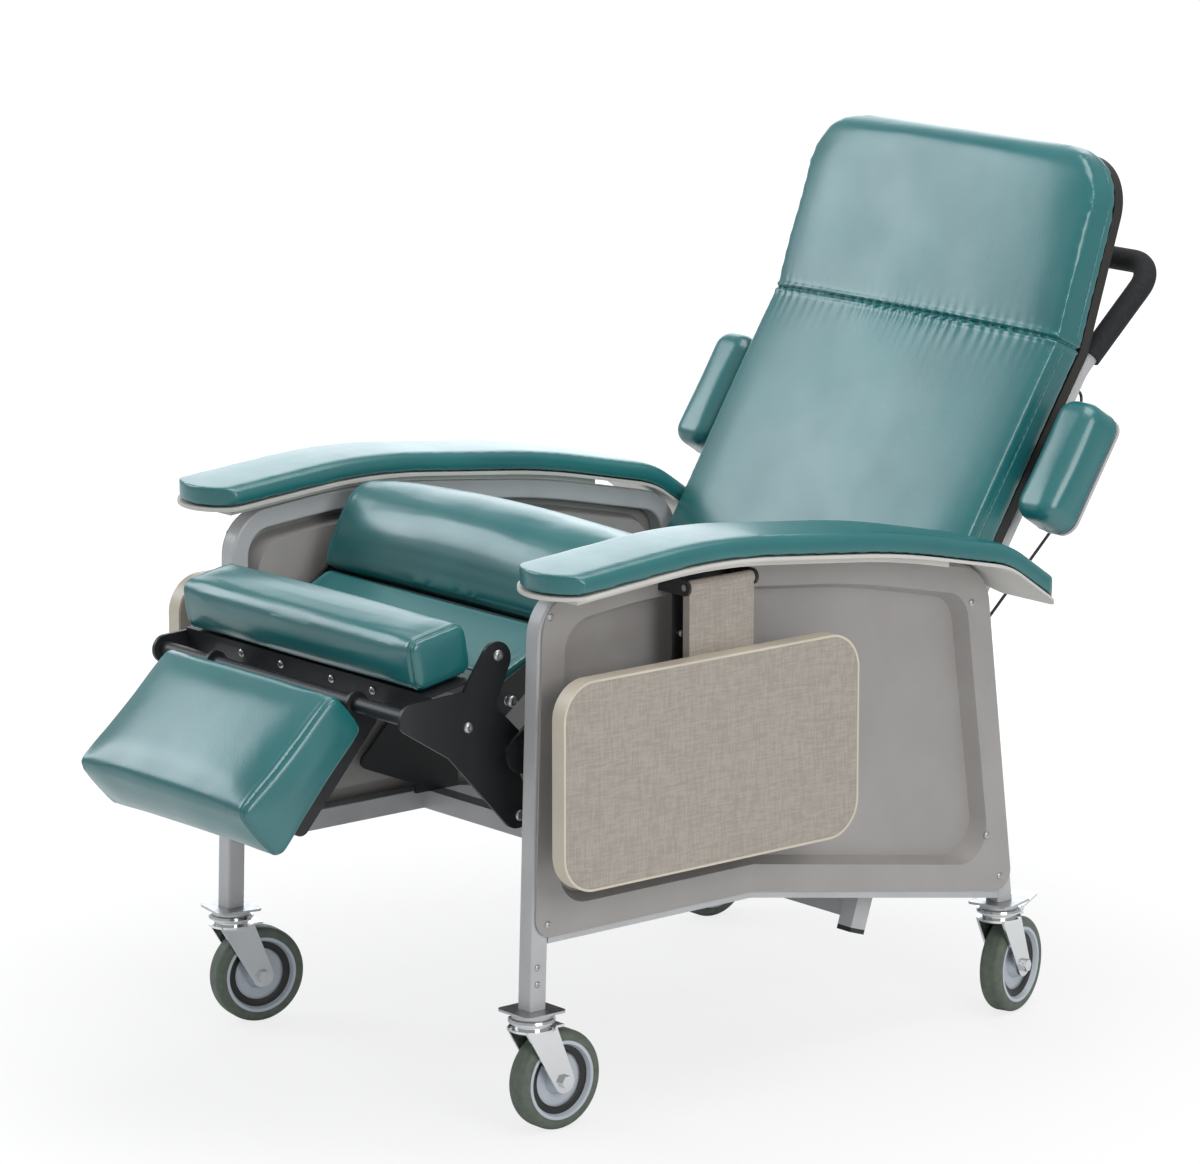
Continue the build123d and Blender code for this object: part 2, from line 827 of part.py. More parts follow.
# Release cable: out of the handle's tube, in a slack bow behind the wing pad, and into the post
cable_route = [
    (back_tube_set + handle_tube / 2 + rest_gap, cable_top, back_tube_x),
    (back_tube_set + cable_out, cable_top, back_tube_x),
    (back_tube_set + cable_bow, cable_bow_top, back_tube_x + cable_aside),
    (back_tube_set + cable_bow, cable_bow_low, back_tube_x + cable_aside),
    (back_tube_set + tube / 2 + cable_out, cable_end, back_tube_x),
    (back_tube_set + tube / 2 + rest_gap, cable_end, back_tube_x),
]
with BuildPart() as release_cable:
    with BuildLine(back_side) as cable_path:
        FilletPolyline(*cable_route, radius=[cable_turn, cable_bend, cable_bend, cable_turn])
    with BuildSketch(Plane(cable_path.line @ 0, z_dir=cable_path.line % 0)):
        Circle(cable / 2)
    sweep()
cable_length = cable_path.wires()[0].length
print(f"release cable: {cable_length:.0f} mm long, tightest arc {cable_turn:.0f} mm")

# Wing pads, each on a backing plate and a clamp that slides on the back's tube
wing_inner = back_half_width + wing_gap
wing_rear = wing_front + wing_thick


def wing_plane(along, rearward):
    """A plane across the wing, along behind the back's face. rearward turns it round."""
    y, z = tilted_point(back_corner, back_angle, along, wing_middle)
    aim = (0, rearward * cos(radians(back_angle)), -rearward * sin(radians(back_angle)))
    return Plane(origin=(wing_inner + wing_width / 2, y, z), x_dir=(1, 0, 0), z_dir=aim)


wing_axis = Axis((0, 0, 0), back_side.x_dir)
with BuildPart() as wing_bracket_left:
    clamp_low = wing_middle - clamp_length / 2
    clamp_base = back_side.from_local_coords(Vector(0, clamp_low, 0))
    with BuildSketch(Plane(clamp_base, x_dir=(1, 0, 0), z_dir=back_side.y_dir)):
        with Locations((back_tube_x, back_tube_set)):
            Rectangle(2 * clamp_half, tube)
            Circle(handle_tube / 2 + pin_play, mode=Mode.SUBTRACT)
    extrude(amount=clamp_length)
    with BuildSketch(wing_plane(wing_rear + rest_gap, 1)):
        plate_width = wing_width - 2 * wing_plate_inset
        plate_length = wing_length - 2 * wing_plate_inset
        RectangleRounded(plate_width, plate_length, wing_corner - wing_plate_inset)
        with Locations((wing_plate_inset + wing_strap - wing_width / 2, 0)):
            strap_reach = wing_inner + wing_plate_inset + wing_strap - back_tube_x - clamp_half + wing_plate
            Rectangle(strap_reach, clamp_length, align=(Align.MAX, Align.CENTER))
    extrude(amount=wing_plate)
wing_bracket_right = other_side(wing_bracket_left)

with BuildPart() as wing_pad_left:
    with BuildSketch(wing_plane(wing_rear, -1)):
        RectangleRounded(wing_width, wing_length, wing_corner)
    extrude(amount=wing_thick)
    wing_faces = wing_pad_left.faces().sort_by(wing_axis)
    fillet(wing_faces[0].edges(), wing_dome)
    wing_faces = wing_pad_left.faces().sort_by(wing_axis)
    fillet(wing_faces[-1].edges(), wing_rear_round)
wing_pad_right = other_side(wing_pad_left)

# Leg rest: two stamped arms, a round cross tube, a channel and the calf pad
with BuildPart() as leg_arm_left:
    arm_nose_lobe = (foot_pivot, leg_tube / 2 + leg_arm_rim)
    arm_mid_lobe = (leg_arm_mid, leg_arm_lobe)
    extrude(strap(leg_arm_x, arm_nose_lobe, arm_mid_lobe), amount=leg_arm_sheet)
    extrude(strap(leg_arm_x, arm_mid_lobe, (leg_pivot, seat_rail_lobe)), amount=leg_arm_sheet)
    extrude(strap(leg_arm_x, (leg_arm_mid, leg_arm_neck), (leg_arm_upper, leg_arm_end)), amount=leg_arm_sheet)
    extrude(strap(leg_arm_x, arm_mid_lobe, (leg_arm_lower, leg_arm_end)), amount=leg_arm_sheet)
    bore(leg_arm_x - overrun, leg_pivot, pivot_pin + 2 * pin_play, leg_arm_sheet + 2 * overrun)
leg_arm_right = other_side(leg_arm_left)

with BuildPart() as leg_cross_tube:
    with BuildSketch(side_plane(0)):
        with Locations(foot_pivot):
            Circle(leg_tube / 2)
    extrude(amount=leg_arm_x - rest_gap, both=True)

with BuildPart() as leg_pin:
    pin(leg_pivot, leg_arm_x - running_gap, seat_rail_inner - rest_gap, pivot_pin)
    pin(leg_pivot, leg_arm_x + leg_arm_sheet + running_gap, seat_rail_inner - rest_gap, pin_head)
    pin(leg_pivot, leg_arm_x - running_gap - pin_head_thick, leg_arm_x - running_gap, pin_head)


def calf_plane(x):
    """The side view of the calf pad at x."""
    return tilted_plane(calf_corner, calf_angle, x)


def calf_outline(swell):
    """The calf pad from the side."""
    return [(-swell, -calf_thick), (calf_length, -calf_thick), (calf_length, swell), (-swell, swell)]


with BuildPart() as calf_pad:
    padded(calf_plane, calf_outline, calf_round, calf_half_width, calf_crown)
    roll_ends(calf_edge_round)

with BuildPart() as calf_channel:
    with BuildSketch(tilted_plane(calf_corner, calf_angle)):
        top = -calf_thick - rest_gap
        with Locations((calf_length / 2, top)):
            Rectangle(channel_width, channel_sheet, align=(Align.CENTER, Align.MAX))
        for edge in (-1, 1):
            with Locations((calf_length / 2 + edge * (channel_width - channel_sheet) / 2, top)):
                Rectangle(channel_sheet, channel_flange, align=(Align.CENTER, Align.MAX))
    extrude(amount=leg_arm_x - rest_gap, both=True)

# Foot rest: a wedge-shaped pad on two flat arms that turn on the cross tube
def foot_plane(x):
    """The side view of the foot pad at x, from its low end up along its face."""
    return tilted_plane(foot_corner, foot_angle, x)


def foot_outline(swell):
    """The foot pad from the side: a wedge, thicker at the low end."""
    return [(0, swell), (foot_length, swell), (foot_length, -foot_thick_high), (0, -foot_thick_low)]


with BuildPart() as foot_pad:
    padded(foot_plane, foot_outline, foot_round, foot_half_width, foot_crown)
    roll_ends(foot_edge_round)

foot_fall = (foot_thick_low - foot_thick_high) / foot_length
arm_up_high = -foot_thick_high - foot_arm_width / 2 - rest_gap + foot_fall * foot_arm_over
arm_up_low = -foot_thick_low - foot_arm_width / 2 - rest_gap + foot_fall * foot_arm_under
arm_high = tilted_point(foot_corner, foot_angle, foot_length + foot_arm_over, arm_up_high)
arm_low = tilted_point(foot_corner, foot_angle, foot_arm_under, arm_up_low)
with BuildPart() as foot_arm:
    extrude(strap(foot_arm_x, (foot_pivot, foot_arm_lobe), (arm_high, foot_arm_width / 2)), amount=foot_arm_sheet)
    extrude(strap(foot_arm_x, (arm_high, foot_arm_width / 2), (arm_low, foot_arm_width / 2)), amount=foot_arm_sheet)
    bore(foot_arm_x - overrun, foot_pivot, leg_tube + 2 * pin_play, foot_arm_sheet + 2 * overrun)

# Trays: a board in an edge band, on a neck with a hinge barrel
tray_inner_x = tray_outer_x - tray_thick
tray_middle = (tray_front + tray_length / 2, tray_top - tray_drop / 2)
tray_axis_x = tray_inner_x - tray_neck_thick / 2

with BuildPart() as tray_band_left:
    with BuildSketch(side_plane(tray_inner_x)):
        with Locations(tray_middle):
            RectangleRounded(tray_length, tray_drop, tray_corner)
            RectangleRounded(
                tray_length - 2 * tray_band, tray_drop - 2 * tray_band, tray_corner - tray_band,
                mode=Mode.SUBTRACT,
            )
    extrude(amount=tray_thick)
tray_band_right = other_side(tray_band_left)

with BuildPart() as tray_board_left:
    band = tray_band + rest_gap
    with BuildSketch(side_plane(tray_inner_x)):
        with Locations(tray_middle):
            RectangleRounded(tray_length - 2 * band, tray_drop - 2 * band, tray_corner - band)
    extrude(amount=tray_thick)
tray_board_right = other_side(tray_board_left)

neck_middle = tray_neck_front + tray_neck_width / 2
neck_rise = tray_axis_height - tray_top
with BuildPart() as tray_neck_left:
    neck_x = tray_inner_x - tray_neck_thick - rest_gap
    with BuildSketch(side_plane(neck_x)):
        with Locations((neck_middle, tray_axis_height)):
            Rectangle(tray_neck_width, neck_rise + tray_neck_lap, align=(Align.CENTER, Align.MAX))
    extrude(amount=tray_neck_thick)
    with BuildSketch(Plane.XZ.offset(-tray_neck_front)):
        with Locations((tray_axis_x, tray_axis_height)):
            Circle(tray_barrel / 2)
    extrude(amount=-tray_neck_width)
    with BuildSketch(Plane.XZ.offset(-tray_neck_front + overrun)):
        with Locations((tray_axis_x, tray_axis_height)):
            Circle(tray_pin / 2 + pin_play)
    extrude(amount=-tray_neck_width - 2 * overrun, mode=Mode.SUBTRACT)
tray_neck_right = other_side(tray_neck_left)

# Tray brackets on the panels' rims, their hinge pins, and the latches
bracket_x = rim_outer + rest_gap
ear_front = tray_neck_front - running_gap - tray_ear
ear_rear = tray_neck_front + tray_neck_width + running_gap
with BuildPart() as tray_bracket:
    with BuildSketch(side_plane(bracket_x)):
        with Locations((neck_middle, tray_axis_height)):
            Rectangle(ear_rear - ear_front + tray_ear, tray_bracket_height)
    extrude(amount=tray_bracket_sheet)
    for ear in (ear_front, ear_rear):
        with BuildSketch(Plane.XZ.offset(-ear)):
            with Locations((tray_axis_x, tray_axis_height)):
                Circle(tray_bracket_height / 2)
            with Locations((bracket_x, tray_axis_height)):
                Rectangle(tray_axis_x - bracket_x, tray_bracket_height, align=(Align.MIN, Align.CENTER))
            with Locations((tray_axis_x, tray_axis_height)):
                Circle(tray_pin / 2 + rest_gap / 2, mode=Mode.SUBTRACT)
        extrude(amount=-tray_ear)
    shelf_low = tray_axis_height - tray_bracket_height / 2
    with BuildSketch(Plane.XY.offset(shelf_low)):
        with Locations((bracket_x, ear_front)):
            Rectangle(tray_stay_reach, tray_ear + tray_stay_width, align=Align.MIN)
    extrude(amount=tray_bracket_sheet)
    with BuildSketch(side_plane(bracket_x + tray_stay_reach - tray_bracket_sheet)):
        with Locations((ear_front + tray_ear, shelf_low + tray_bracket_sheet)):
            Rectangle(tray_stay_width, tray_stay_drop, align=(Align.MIN, Align.MAX))
    extrude(amount=tray_bracket_sheet)

with BuildPart() as tray_pin_bar:
    with BuildSketch(Plane.XZ.offset(-ear_front)):
        with Locations((tray_axis_x, tray_axis_height)):
            Circle(tray_pin / 2)
    extrude(amount=-(ear_rear + tray_ear - ear_front))

with BuildPart() as tray_latch:
    latch_place = (ear_front + tray_ear + tray_stay_width / 2, tray_axis_height - tray_latch_below)
    stay_face = bracket_x + tray_stay_reach
    pin(latch_place, stay_face + rest_gap, stay_face + latch_length, latch_rod)
    pin(latch_place, stay_face + latch_length - pin_head_thick, stay_face + latch_length, 2 * latch_rod)

# Casters: the wheel trails behind the stem, which is the origin of these pieces
wheel_middle = (trail, wheel / 2)
half_gap = hub_width / 2 + fork_gap
crown_low = wheel + fork_crown_clearance

with BuildPart() as caster_tyre:
    with BuildSketch(Plane.XY):
        with BuildLine():
            tread = wheel / 2
            seat_ring = wheel / 2 - tyre_depth
            edge = tyre_width / 2
            FilletPolyline(
                (-edge, seat_ring), (edge, seat_ring), (edge, tread), (-edge, tread),
                radius=[0, 0, tyre_round, tyre_round],
                close=True,
            )
        make_face()
    revolve(axis=Axis.X)

with BuildPart() as caster_hub:
    with BuildSketch(Plane.XY):
        with BuildLine():
            rim_radius = wheel / 2 - tyre_depth - rest_gap
            rim_low = rim_radius - hub_rim
            Polyline(
                (-tyre_width / 2, rim_radius), (tyre_width / 2, rim_radius),
                (tyre_width / 2, rim_low), (hub_web / 2, rim_low - hub_rim),
                (hub_web / 2, hub_boss / 2 + hub_rim), (hub_width / 2, hub_boss / 2),
                (hub_width / 2, axle / 2 + pin_play), (-hub_width / 2, axle / 2 + pin_play),
                (-hub_width / 2, hub_boss / 2), (-hub_web / 2, hub_boss / 2 + hub_rim),
                (-hub_web / 2, rim_low - hub_rim), (-tyre_width / 2, rim_low),
                close=True,
            )
        make_face()
    revolve(axis=Axis.X)

with BuildPart() as caster_fork:
    with BuildSketch(Plane.XY.offset(crown_low)):
        Circle(fork_crown / 2)
        Rectangle(pedal_width, fork_crown / 2 + 2 * pedal_pin, align=(Align.CENTER, Align.MIN))
    extrude(amount=fork_sheet)
    for x in (-half_gap - fork_sheet, half_gap):
        with BuildSketch(side_plane(x)):
            with Locations(wheel_middle):
                Circle(fork_foot / 2)
            with Locations((0, crown_low)):
                Rectangle(fork_cheek, fork_sheet, align=(Align.CENTER, Align.MIN))
            make_hull()
        extrude(amount=fork_sheet)
    with BuildSketch(side_plane(-half_gap - fork_sheet - axle_head_thick)):
        with Locations(wheel_middle):
            RegularPolygon(axle_head / 2, 6)
    extrude(amount=axle_head_thick)
    with BuildSketch(side_plane(half_gap + fork_sheet)):
        with Locations(wheel_middle):
            RegularPolygon(axle_head / 2, 6)
    extrude(amount=axle_head_thick)
    with BuildSketch(side_plane(-half_gap)):
        with Locations(wheel_middle):
            Circle(axle / 2)
    extrude(amount=2 * half_gap)
    with BuildSketch(Plane.XY.offset(crown_low + fork_sheet)):
        Circle(raceway_cup / 2 - fork_sheet)
    extrude(amount=fork_lift)

with BuildPart() as caster_raceway:
    cup_low = crown_low + fork_sheet + fork_lift + running_gap
    with BuildSketch(Plane.XY.offset(cup_low)):
        Circle(raceway_cup / 2)
    extrude(amount=leg_foot_height - raceway_plate - rest_gap - cup_low)
    with BuildSketch(Plane.XY.offset(leg_foot_height - raceway_plate - rest_gap)):
        RectangleRounded(raceway, raceway, raceway / 8)
    extrude(amount=raceway_plate)
    with BuildSketch(Plane.XY.offset(leg_foot_height - rest_gap)):
        Circle(stem / 2)
    extrude(amount=stem_length)


def brake_pedal_part():
    """A rear caster's brake pedal, hinged on the fork behind the stem."""
    with BuildPart() as pedal:
        height = crown_low + fork_sheet + rest_gap + pedal_pin
        with BuildSketch(side_plane(0)):
            with Locations((fork_crown / 2 + pedal_pin, height)):
                Circle(pedal_pin)
        extrude(amount=pedal_width / 2, both=True)
        rise = tan(radians(pedal_rise_angle))
        with BuildSketch(side_plane(0)):
            with BuildLine():
                start = fork_crown / 2 + pedal_pin
                Polyline(
                    (start, height), (start + pedal_length, height + pedal_length * rise),
                    (start + pedal_length, height + pedal_length * rise + pedal_sheet),
                    (start, height + pedal_sheet), close=True,
                )
            make_face()
        extrude(amount=pedal_width / 2, both=True)
    return pedal


stems = {
    "front_left": (side_x, -stem_y),
    "front_right": (-side_x, -stem_y),
    "rear_left": (side_x, stem_y),
    "rear_right": (-side_x, stem_y),
}


def at_stem(piece, corner, lift=(0, 0)):
    """A copy of a caster piece at one corner, turned to that caster's heading."""
    x, y = stems[corner]
    with BuildPart() as placed:
        with Locations(Location((x, y, 0), (0, 0, caster_headings[corner]))):
            with Locations((0, lift[0], lift[1])):
                add(piece.part)
    return placed


rear_corners = ["rear_left", "rear_right"]
brake_pedal = brake_pedal_part()

hinge_pins = [seat_pin, back_pin, rear_standoff]

pieces = {
    "side_frame_left": side_frame_left.part,
    "side_frame_right": side_frame_right.part,
    "lower_frame": lower_frame.part,
    "rear_cross_tube": rear_cross_tube.part,
    "side_panel_left": side_panel_left.part,
    "side_panel_right": side_panel_right.part,
    "arm_base_left": arm_base_left.part,
    "arm_base_right": arm_base_right.part,
    "arm_pad_left": arm_pad_left.part,
    "arm_pad_right": arm_pad_right.part,
    "mech_plate_left": mech_plate_left.part,
    "mech_plate_right": mech_plate_right.part,
    "hinge_pins": group(*hinge_pins, *[other_side(piece) for piece in hinge_pins]),
    "seat_frame": seat_frame.part,
    "seat_base": seat_base.part,
    "seat_cushion": seat_cushion.part,
    "seat_flap": seat_flap.part,
    "leg_pins": group(leg_pin, other_side(leg_pin)),
    "back_cushion": back_cushion.part,
    "head_cushion": head_cushion.part,
    "back_board": back_board_panel.part,
    "back_frame": back_frame.part,
    "handle_grip": handle_grip.part,
    "release_cable": release_cable.part,
    "post_caps": group(post_cap, other_side(post_cap)),
    "wing_bracket_left": wing_bracket_left.part,
    "wing_bracket_right": wing_bracket_right.part,
    "wing_pad_left": wing_pad_left.part,
    "wing_pad_right": wing_pad_right.part,
    "leg_arm_left": leg_arm_left.part,
    "leg_arm_right": leg_arm_right.part,
    "leg_cross_tube": leg_cross_tube.part,
    "calf_pad": calf_pad.part,
    "calf_channel": calf_channel.part,
    "foot_pad": foot_pad.part,
    "foot_arms": group(foot_arm, other_side(foot_arm)),
    "tray_board_left": tray_board_left.part,
    "tray_board_right": tray_board_right.part,
    "tray_band_left": tray_band_left.part,
    "tray_band_right": tray_band_right.part,
    "tray_neck_left": tray_neck_left.part,
    "tray_neck_right": tray_neck_right.part,
    "tray_brackets": group(tray_bracket, other_side(tray_bracket)),
    "tray_hinge_pins": group(tray_pin_bar, other_side(tray_pin_bar)),
    "tray_latches": group(tray_latch, other_side(tray_latch)),
    "caster_raceways": group(*[at_stem(caster_raceway, corner) for corner in stems]),
}
for corner in stems:
    pieces[f"fork_{corner}"] = at_stem(caster_fork, corner).part
    pieces[f"hub_{corner}"] = at_stem(caster_hub, corner, wheel_middle).part
    pieces[f"tyre_{corner}"] = at_stem(caster_tyre, corner, wheel_middle).part
for corner in rear_corners:
    pieces[f"brake_pedal_{corner}"] = at_stem(brake_pedal, corner).part

os.makedirs("parts", exist_ok=True)
for name, piece in pieces.items():
    piece.label = name
    export_step(piece, f"parts/{name}.step")
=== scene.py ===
"""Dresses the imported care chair: upholstery, fasteners, finishes and a plain studio."""

import json
from math import cos, pi, radians, sin

import bmesh
import bpy
import numpy as np
from bpy.props import FloatProperty, PointerProperty
from mathutils import Matrix, Vector


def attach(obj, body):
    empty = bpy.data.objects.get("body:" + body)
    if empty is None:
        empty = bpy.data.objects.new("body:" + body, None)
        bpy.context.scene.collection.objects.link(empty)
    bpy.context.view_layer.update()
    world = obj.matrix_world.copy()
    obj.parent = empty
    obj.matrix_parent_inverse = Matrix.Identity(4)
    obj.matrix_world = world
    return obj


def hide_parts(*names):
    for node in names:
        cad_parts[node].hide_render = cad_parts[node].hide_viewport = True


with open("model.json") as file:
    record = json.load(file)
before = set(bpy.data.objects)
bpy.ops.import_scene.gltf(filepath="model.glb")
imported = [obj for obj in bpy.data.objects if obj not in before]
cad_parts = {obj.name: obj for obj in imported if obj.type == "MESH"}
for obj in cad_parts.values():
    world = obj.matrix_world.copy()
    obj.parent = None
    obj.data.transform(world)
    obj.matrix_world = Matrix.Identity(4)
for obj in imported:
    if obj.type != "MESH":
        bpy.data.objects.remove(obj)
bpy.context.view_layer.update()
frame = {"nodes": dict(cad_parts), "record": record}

bl_info = {
    "name": "Reclining care chair",
    "version": (1, 0, 0),
    "blender": (4, 5, 0),
    "location": "3D View > Sidebar > Care Chair",
    "description": "Dresses the packed care chair with upholstery, fasteners and finishes",
    "category": "Object",
}


def mm(length):
    """Millimetres as Blender's metres."""
    return length / 1000.0


def linear(hex_colour):
    """An sRGB hex colour as the linear colour that shaders take."""
    channels = [int(hex_colour[i:i + 2], 16) / 255 for i in (1, 3, 5)]
    return [c / 12.92 if c <= 0.04045 else ((c + 0.055) / 1.055) ** 2.4 for c in channels]


# Places taken from the chair's own geometry, in millimetres
BACK_CORNER = (308.0, 559.0)
BACK_ANGLE = 33.0
BACK_SEAM = 371.0
SEAM_GROWTH = 2.0
SIMULATED_FRAMES = 14
TAUT_ROUNDS = 60
HEAD_ANGLE = 18.0
BACK_EDGE_SEAM = 17.0
HEAD_EDGE_SEAM = 34.0
CALF_CORNER = (-517.0, 614.0)
CALF_ANGLE = -10.0
WING_MIDDLE = 222.0
WING_REAR = 76.0
LEG_ARM_OUTER = 251.0
LEG_ARM_INNER = 246.0
LEG_ARM_BOLTS = [(-442.0, 503.0), (-374.0, 525.0), (-396.0, 585.0), (-363.0, 382.0)]
PANEL_FACE = 321.2
PANEL_SCREWS = [(350.0, 251.0), (374.0, 193.0), (-377.0, 262.0), (-372.0, 640.0), (318.0, 560.0)]
LEG_FACE = 317.5
LEG_MIDDLE = -390.5
LEG_SCREW_HEIGHTS = (189.0, 210.0)
CHANNEL_FRONT = 9.0
CHANNEL_RIVET_UP = -82.0
CHANNEL_RIVETS = (-132.0, -51.0, 51.0, 132.0)
SEAT_HALF = 262.0
FLAP_HALF = 235.0
CALF_HALF = 236.0
FOOT_HALF = 174.0
WHEEL_TRAIL = 35.0
AXLE_HEIGHT = 62.5
HUB_FACE = 8.0
RACE_PROFILE = [(25.1, 139.0), (28.4, 140.2), (29.6, 143.0), (28.4, 145.8), (25.1, 147.0)]
# Black ring on each hub face, painted shade standing for the shadow in the hub's groove: (radius, height)
# in mm
HUB_GROOVE_SHADE_PROFILE = [(34.0, 0.0), (37.0, 1.6), (43.0, 1.6), (44.5, 0.0)]
STEMS = {
    "front_left": (305.0, -389.0, 0.0),
    "front_right": (-305.0, -389.0, -11.0),
    "rear_left": (305.0, 389.0, 18.0),
    "rear_right": (-305.0, 389.0, 0.0),
}

# The photograph's camera, solved from the chair's straight edges: metres and degrees
CAMERA_PLACE = (5.5712, -4.6885, 2.1583)
CAMERA_HEIGHT_ANGLE = 12.247
CAMERA_SIDE_ANGLE = 50.077


def tilted(corner, angle, along, up, x=0.0):
    """A point of a fore-and-aft plane: along it rearward and square to it, in metres."""
    turn = radians(angle)
    y = corner[0] + along * cos(turn) + up * sin(turn)
    z = corner[1] - along * sin(turn) + up * cos(turn)
    return Vector((mm(x), mm(y), mm(z)))


def face_of(angle):
    """The direction square to a tilted cushion's face, into the cushion."""
    return Vector((0, cos(radians(angle)), -sin(radians(angle))))


def up_of(angle):
    """The direction up along a tilted cushion's face."""
    return Vector((0, sin(radians(angle)), cos(radians(angle))))


# Materials
def add_node(tree, kind, links=None, **settings):
    """Add a shader node. settings are its properties or input values, links its inputs."""
    node = tree.nodes.new(kind)
    for key, value in settings.items():
        if hasattr(node, key):
            setattr(node, key, value)
        else:
            node.inputs[key.replace("_", " ")].default_value = value
    for key, output in (links or {}).items():
        tree.links.new(output, node.inputs[key])
    return node


def new_material(name, colour, roughness, metallic=0.0, **inputs):
    """A material with its main shader set, and the Object coordinates for its patterns."""
    material = bpy.data.materials.new(name)
    material.use_nodes = True
    tree = material.node_tree
    shader = tree.nodes["Principled BSDF"]
    shader.inputs["Base Color"].default_value = (*linear(colour), 1)
    shader.inputs["Roughness"].default_value = roughness
    shader.inputs["Metallic"].default_value = metallic
    for key, value in inputs.items():
        shader.inputs[key.replace("_", " ")].default_value = value
    place = add_node(tree, "ShaderNodeTexCoord").outputs["Object"]
    return material, tree, shader, place


def mottle(tree, shader, place, light, dark, patch_mm, detail=3.0):
    """Vary the base colour between two close tones in soft patches."""
    noise = add_node(
        tree, "ShaderNodeTexNoise", {"Vector": place}, Scale=1000 / patch_mm, Detail=detail
    )
    ramp = add_node(tree, "ShaderNodeValToRGB", {"Fac": noise.outputs["Fac"]})
    ramp.color_ramp.elements[0].position = 0.35
    ramp.color_ramp.elements[0].color = (*linear(dark), 1)
    ramp.color_ramp.elements[1].position = 0.65
    ramp.color_ramp.elements[1].color = (*linear(light), 1)
    tree.links.new(ramp.outputs["Color"], shader.inputs["Base Color"])
    return ramp.outputs["Color"]


def vary_roughness(tree, shader, place, low, high, patch_mm):
    """Vary the roughness in patches, as handling and cleaning leave it."""
    noise = add_node(tree, "ShaderNodeTexNoise", {"Vector": place}, Scale=1000 / patch_mm, Detail=4.0)
    spread = add_node(
        tree, "ShaderNodeMapRange", {"Value": noise.outputs["Fac"]},
        From_Min=0.3, From_Max=0.7, To_Min=low, To_Max=high,
    )
    tree.links.new(spread.outputs["Result"], shader.inputs["Roughness"])


def bump(tree, shader, height, strength, depth_mm):
    """Raise the surface by a height pattern."""
    raised = add_node(tree, "ShaderNodeBump", {"Height": height}, Strength=strength, Distance=mm(depth_mm))
    tree.links.new(raised.outputs["Normal"], shader.inputs["Normal"])


def coated_vinyl(colour, shade, grain_mm):
    """Vinyl-coated upholstery cloth, calendered and embossed: a soft sheen over a fine hide grain."""
    material, tree, shader, place = new_material(
        "vinyl upholstery cloth", colour, 0.32, IOR=1.5, Specular_IOR_Level=0.8,
        Coat_Weight=0.35, Coat_Roughness=0.22,
    )
    mottle(tree, shader, place, colour, shade, 140)
    vary_roughness(tree, shader, place, 0.28, 0.36, 90)
    # The real grain is about 1 mm and would vanish at this size, so it is drawn coarser
    cells = add_node(
        tree, "ShaderNodeTexVoronoi", {"Vector": place}, Scale=1000 / grain_mm, feature="SMOOTH_F1"
    )
    creases = add_node(
        tree, "ShaderNodeTexNoise", {"Vector": place}, Scale=1000 / (5 * grain_mm), Detail=5.0
    )
    height = add_node(
        tree, "ShaderNodeMath", {0: cells.outputs["Distance"], 1: creases.outputs["Fac"]}, operation="ADD"
    )
    bump(tree, shader, height.outputs["Value"], 0.22, 0.35)
    return material


def powder_coat(name, colour, shade, roughness):
    """Polyester powder baked on steel tube: even colour with a fine orange-peel surface."""
    material, tree, shader, place = new_material(name, colour, roughness, IOR=1.5, Coat_Weight=0.15)
    mottle(tree, shader, place, colour, shade, 60)
    peel = add_node(tree, "ShaderNodeTexNoise", {"Vector": place}, Scale=1000 / 2.2, Detail=2.0)
    bump(tree, shader, peel.outputs["Fac"], 0.08, 0.2)
    return material


def moulded_plastic(name, colour, shade, roughness, grain_mm=1.6):
    """Injection-moulded ABS with a spark-eroded grain: matt, with slightly shiny high spots."""
    material, tree, shader, place = new_material(name, colour, roughness, IOR=1.53)
    mottle(tree, shader, place, colour, shade, 80)
    vary_roughness(tree, shader, place, roughness - 0.05, roughness + 0.06, 40)
    grain = add_node(tree, "ShaderNodeTexNoise", {"Vector": place}, Scale=1000 / grain_mm, Detail=2.0)
    bump(tree, shader, grain.outputs["Fac"], 0.12, 0.2)
    return material


def linen_laminate(light, dark, thread_mm):
    """High-pressure laminate printed as linen: crossed threads of two taupes under a satin film."""
    material, tree, shader, place = new_material("linen pattern laminate", light, 0.42, IOR=1.5)
    # Threads are near 0.5 mm, and are drawn coarser so that the cross-hatching shows
    threads = []
    for stretch in ((1, 1, 9), (1, 9, 1)):
        scale = add_node(tree, "ShaderNodeMapping", {"Vector": place})
        scale.inputs["Scale"].default_value = [1000 / thread_mm / s for s in stretch]
        strands = {"Vector": scale.outputs["Vector"]}
        threads.append(add_node(tree, "ShaderNodeTexNoise", strands, Scale=1.0, Detail=2.0))
    crossed = {0: threads[0].outputs["Fac"], 1: threads[1].outputs["Fac"]}
    both = add_node(tree, "ShaderNodeMath", crossed, operation="ADD")
    half = add_node(tree, "ShaderNodeMath", {0: both.outputs["Value"]}, operation="MULTIPLY")
    half.inputs[1].default_value = 0.5
    ramp = add_node(tree, "ShaderNodeValToRGB", {"Fac": half.outputs["Value"]})
    ramp.color_ramp.elements[0].position = 0.4
    ramp.color_ramp.elements[0].color = (*linear(dark), 1)
    ramp.color_ramp.elements[1].position = 0.6
    ramp.color_ramp.elements[1].color = (*linear(light), 1)
    tree.links.new(ramp.outputs["Color"], shader.inputs["Base Color"])
    bump(tree, shader, half.outputs["Value"], 0.12, 0.15)
    return material


def bright_metal(name, colour, low, high):
    """Plated steel: a hard mirror finish with faint polishing haze, duller where it is handled."""
    material, tree, shader, place = new_material(name, colour, low, metallic=1.0)
    vary_roughness(tree, shader, place, low, high, 12)
    return material


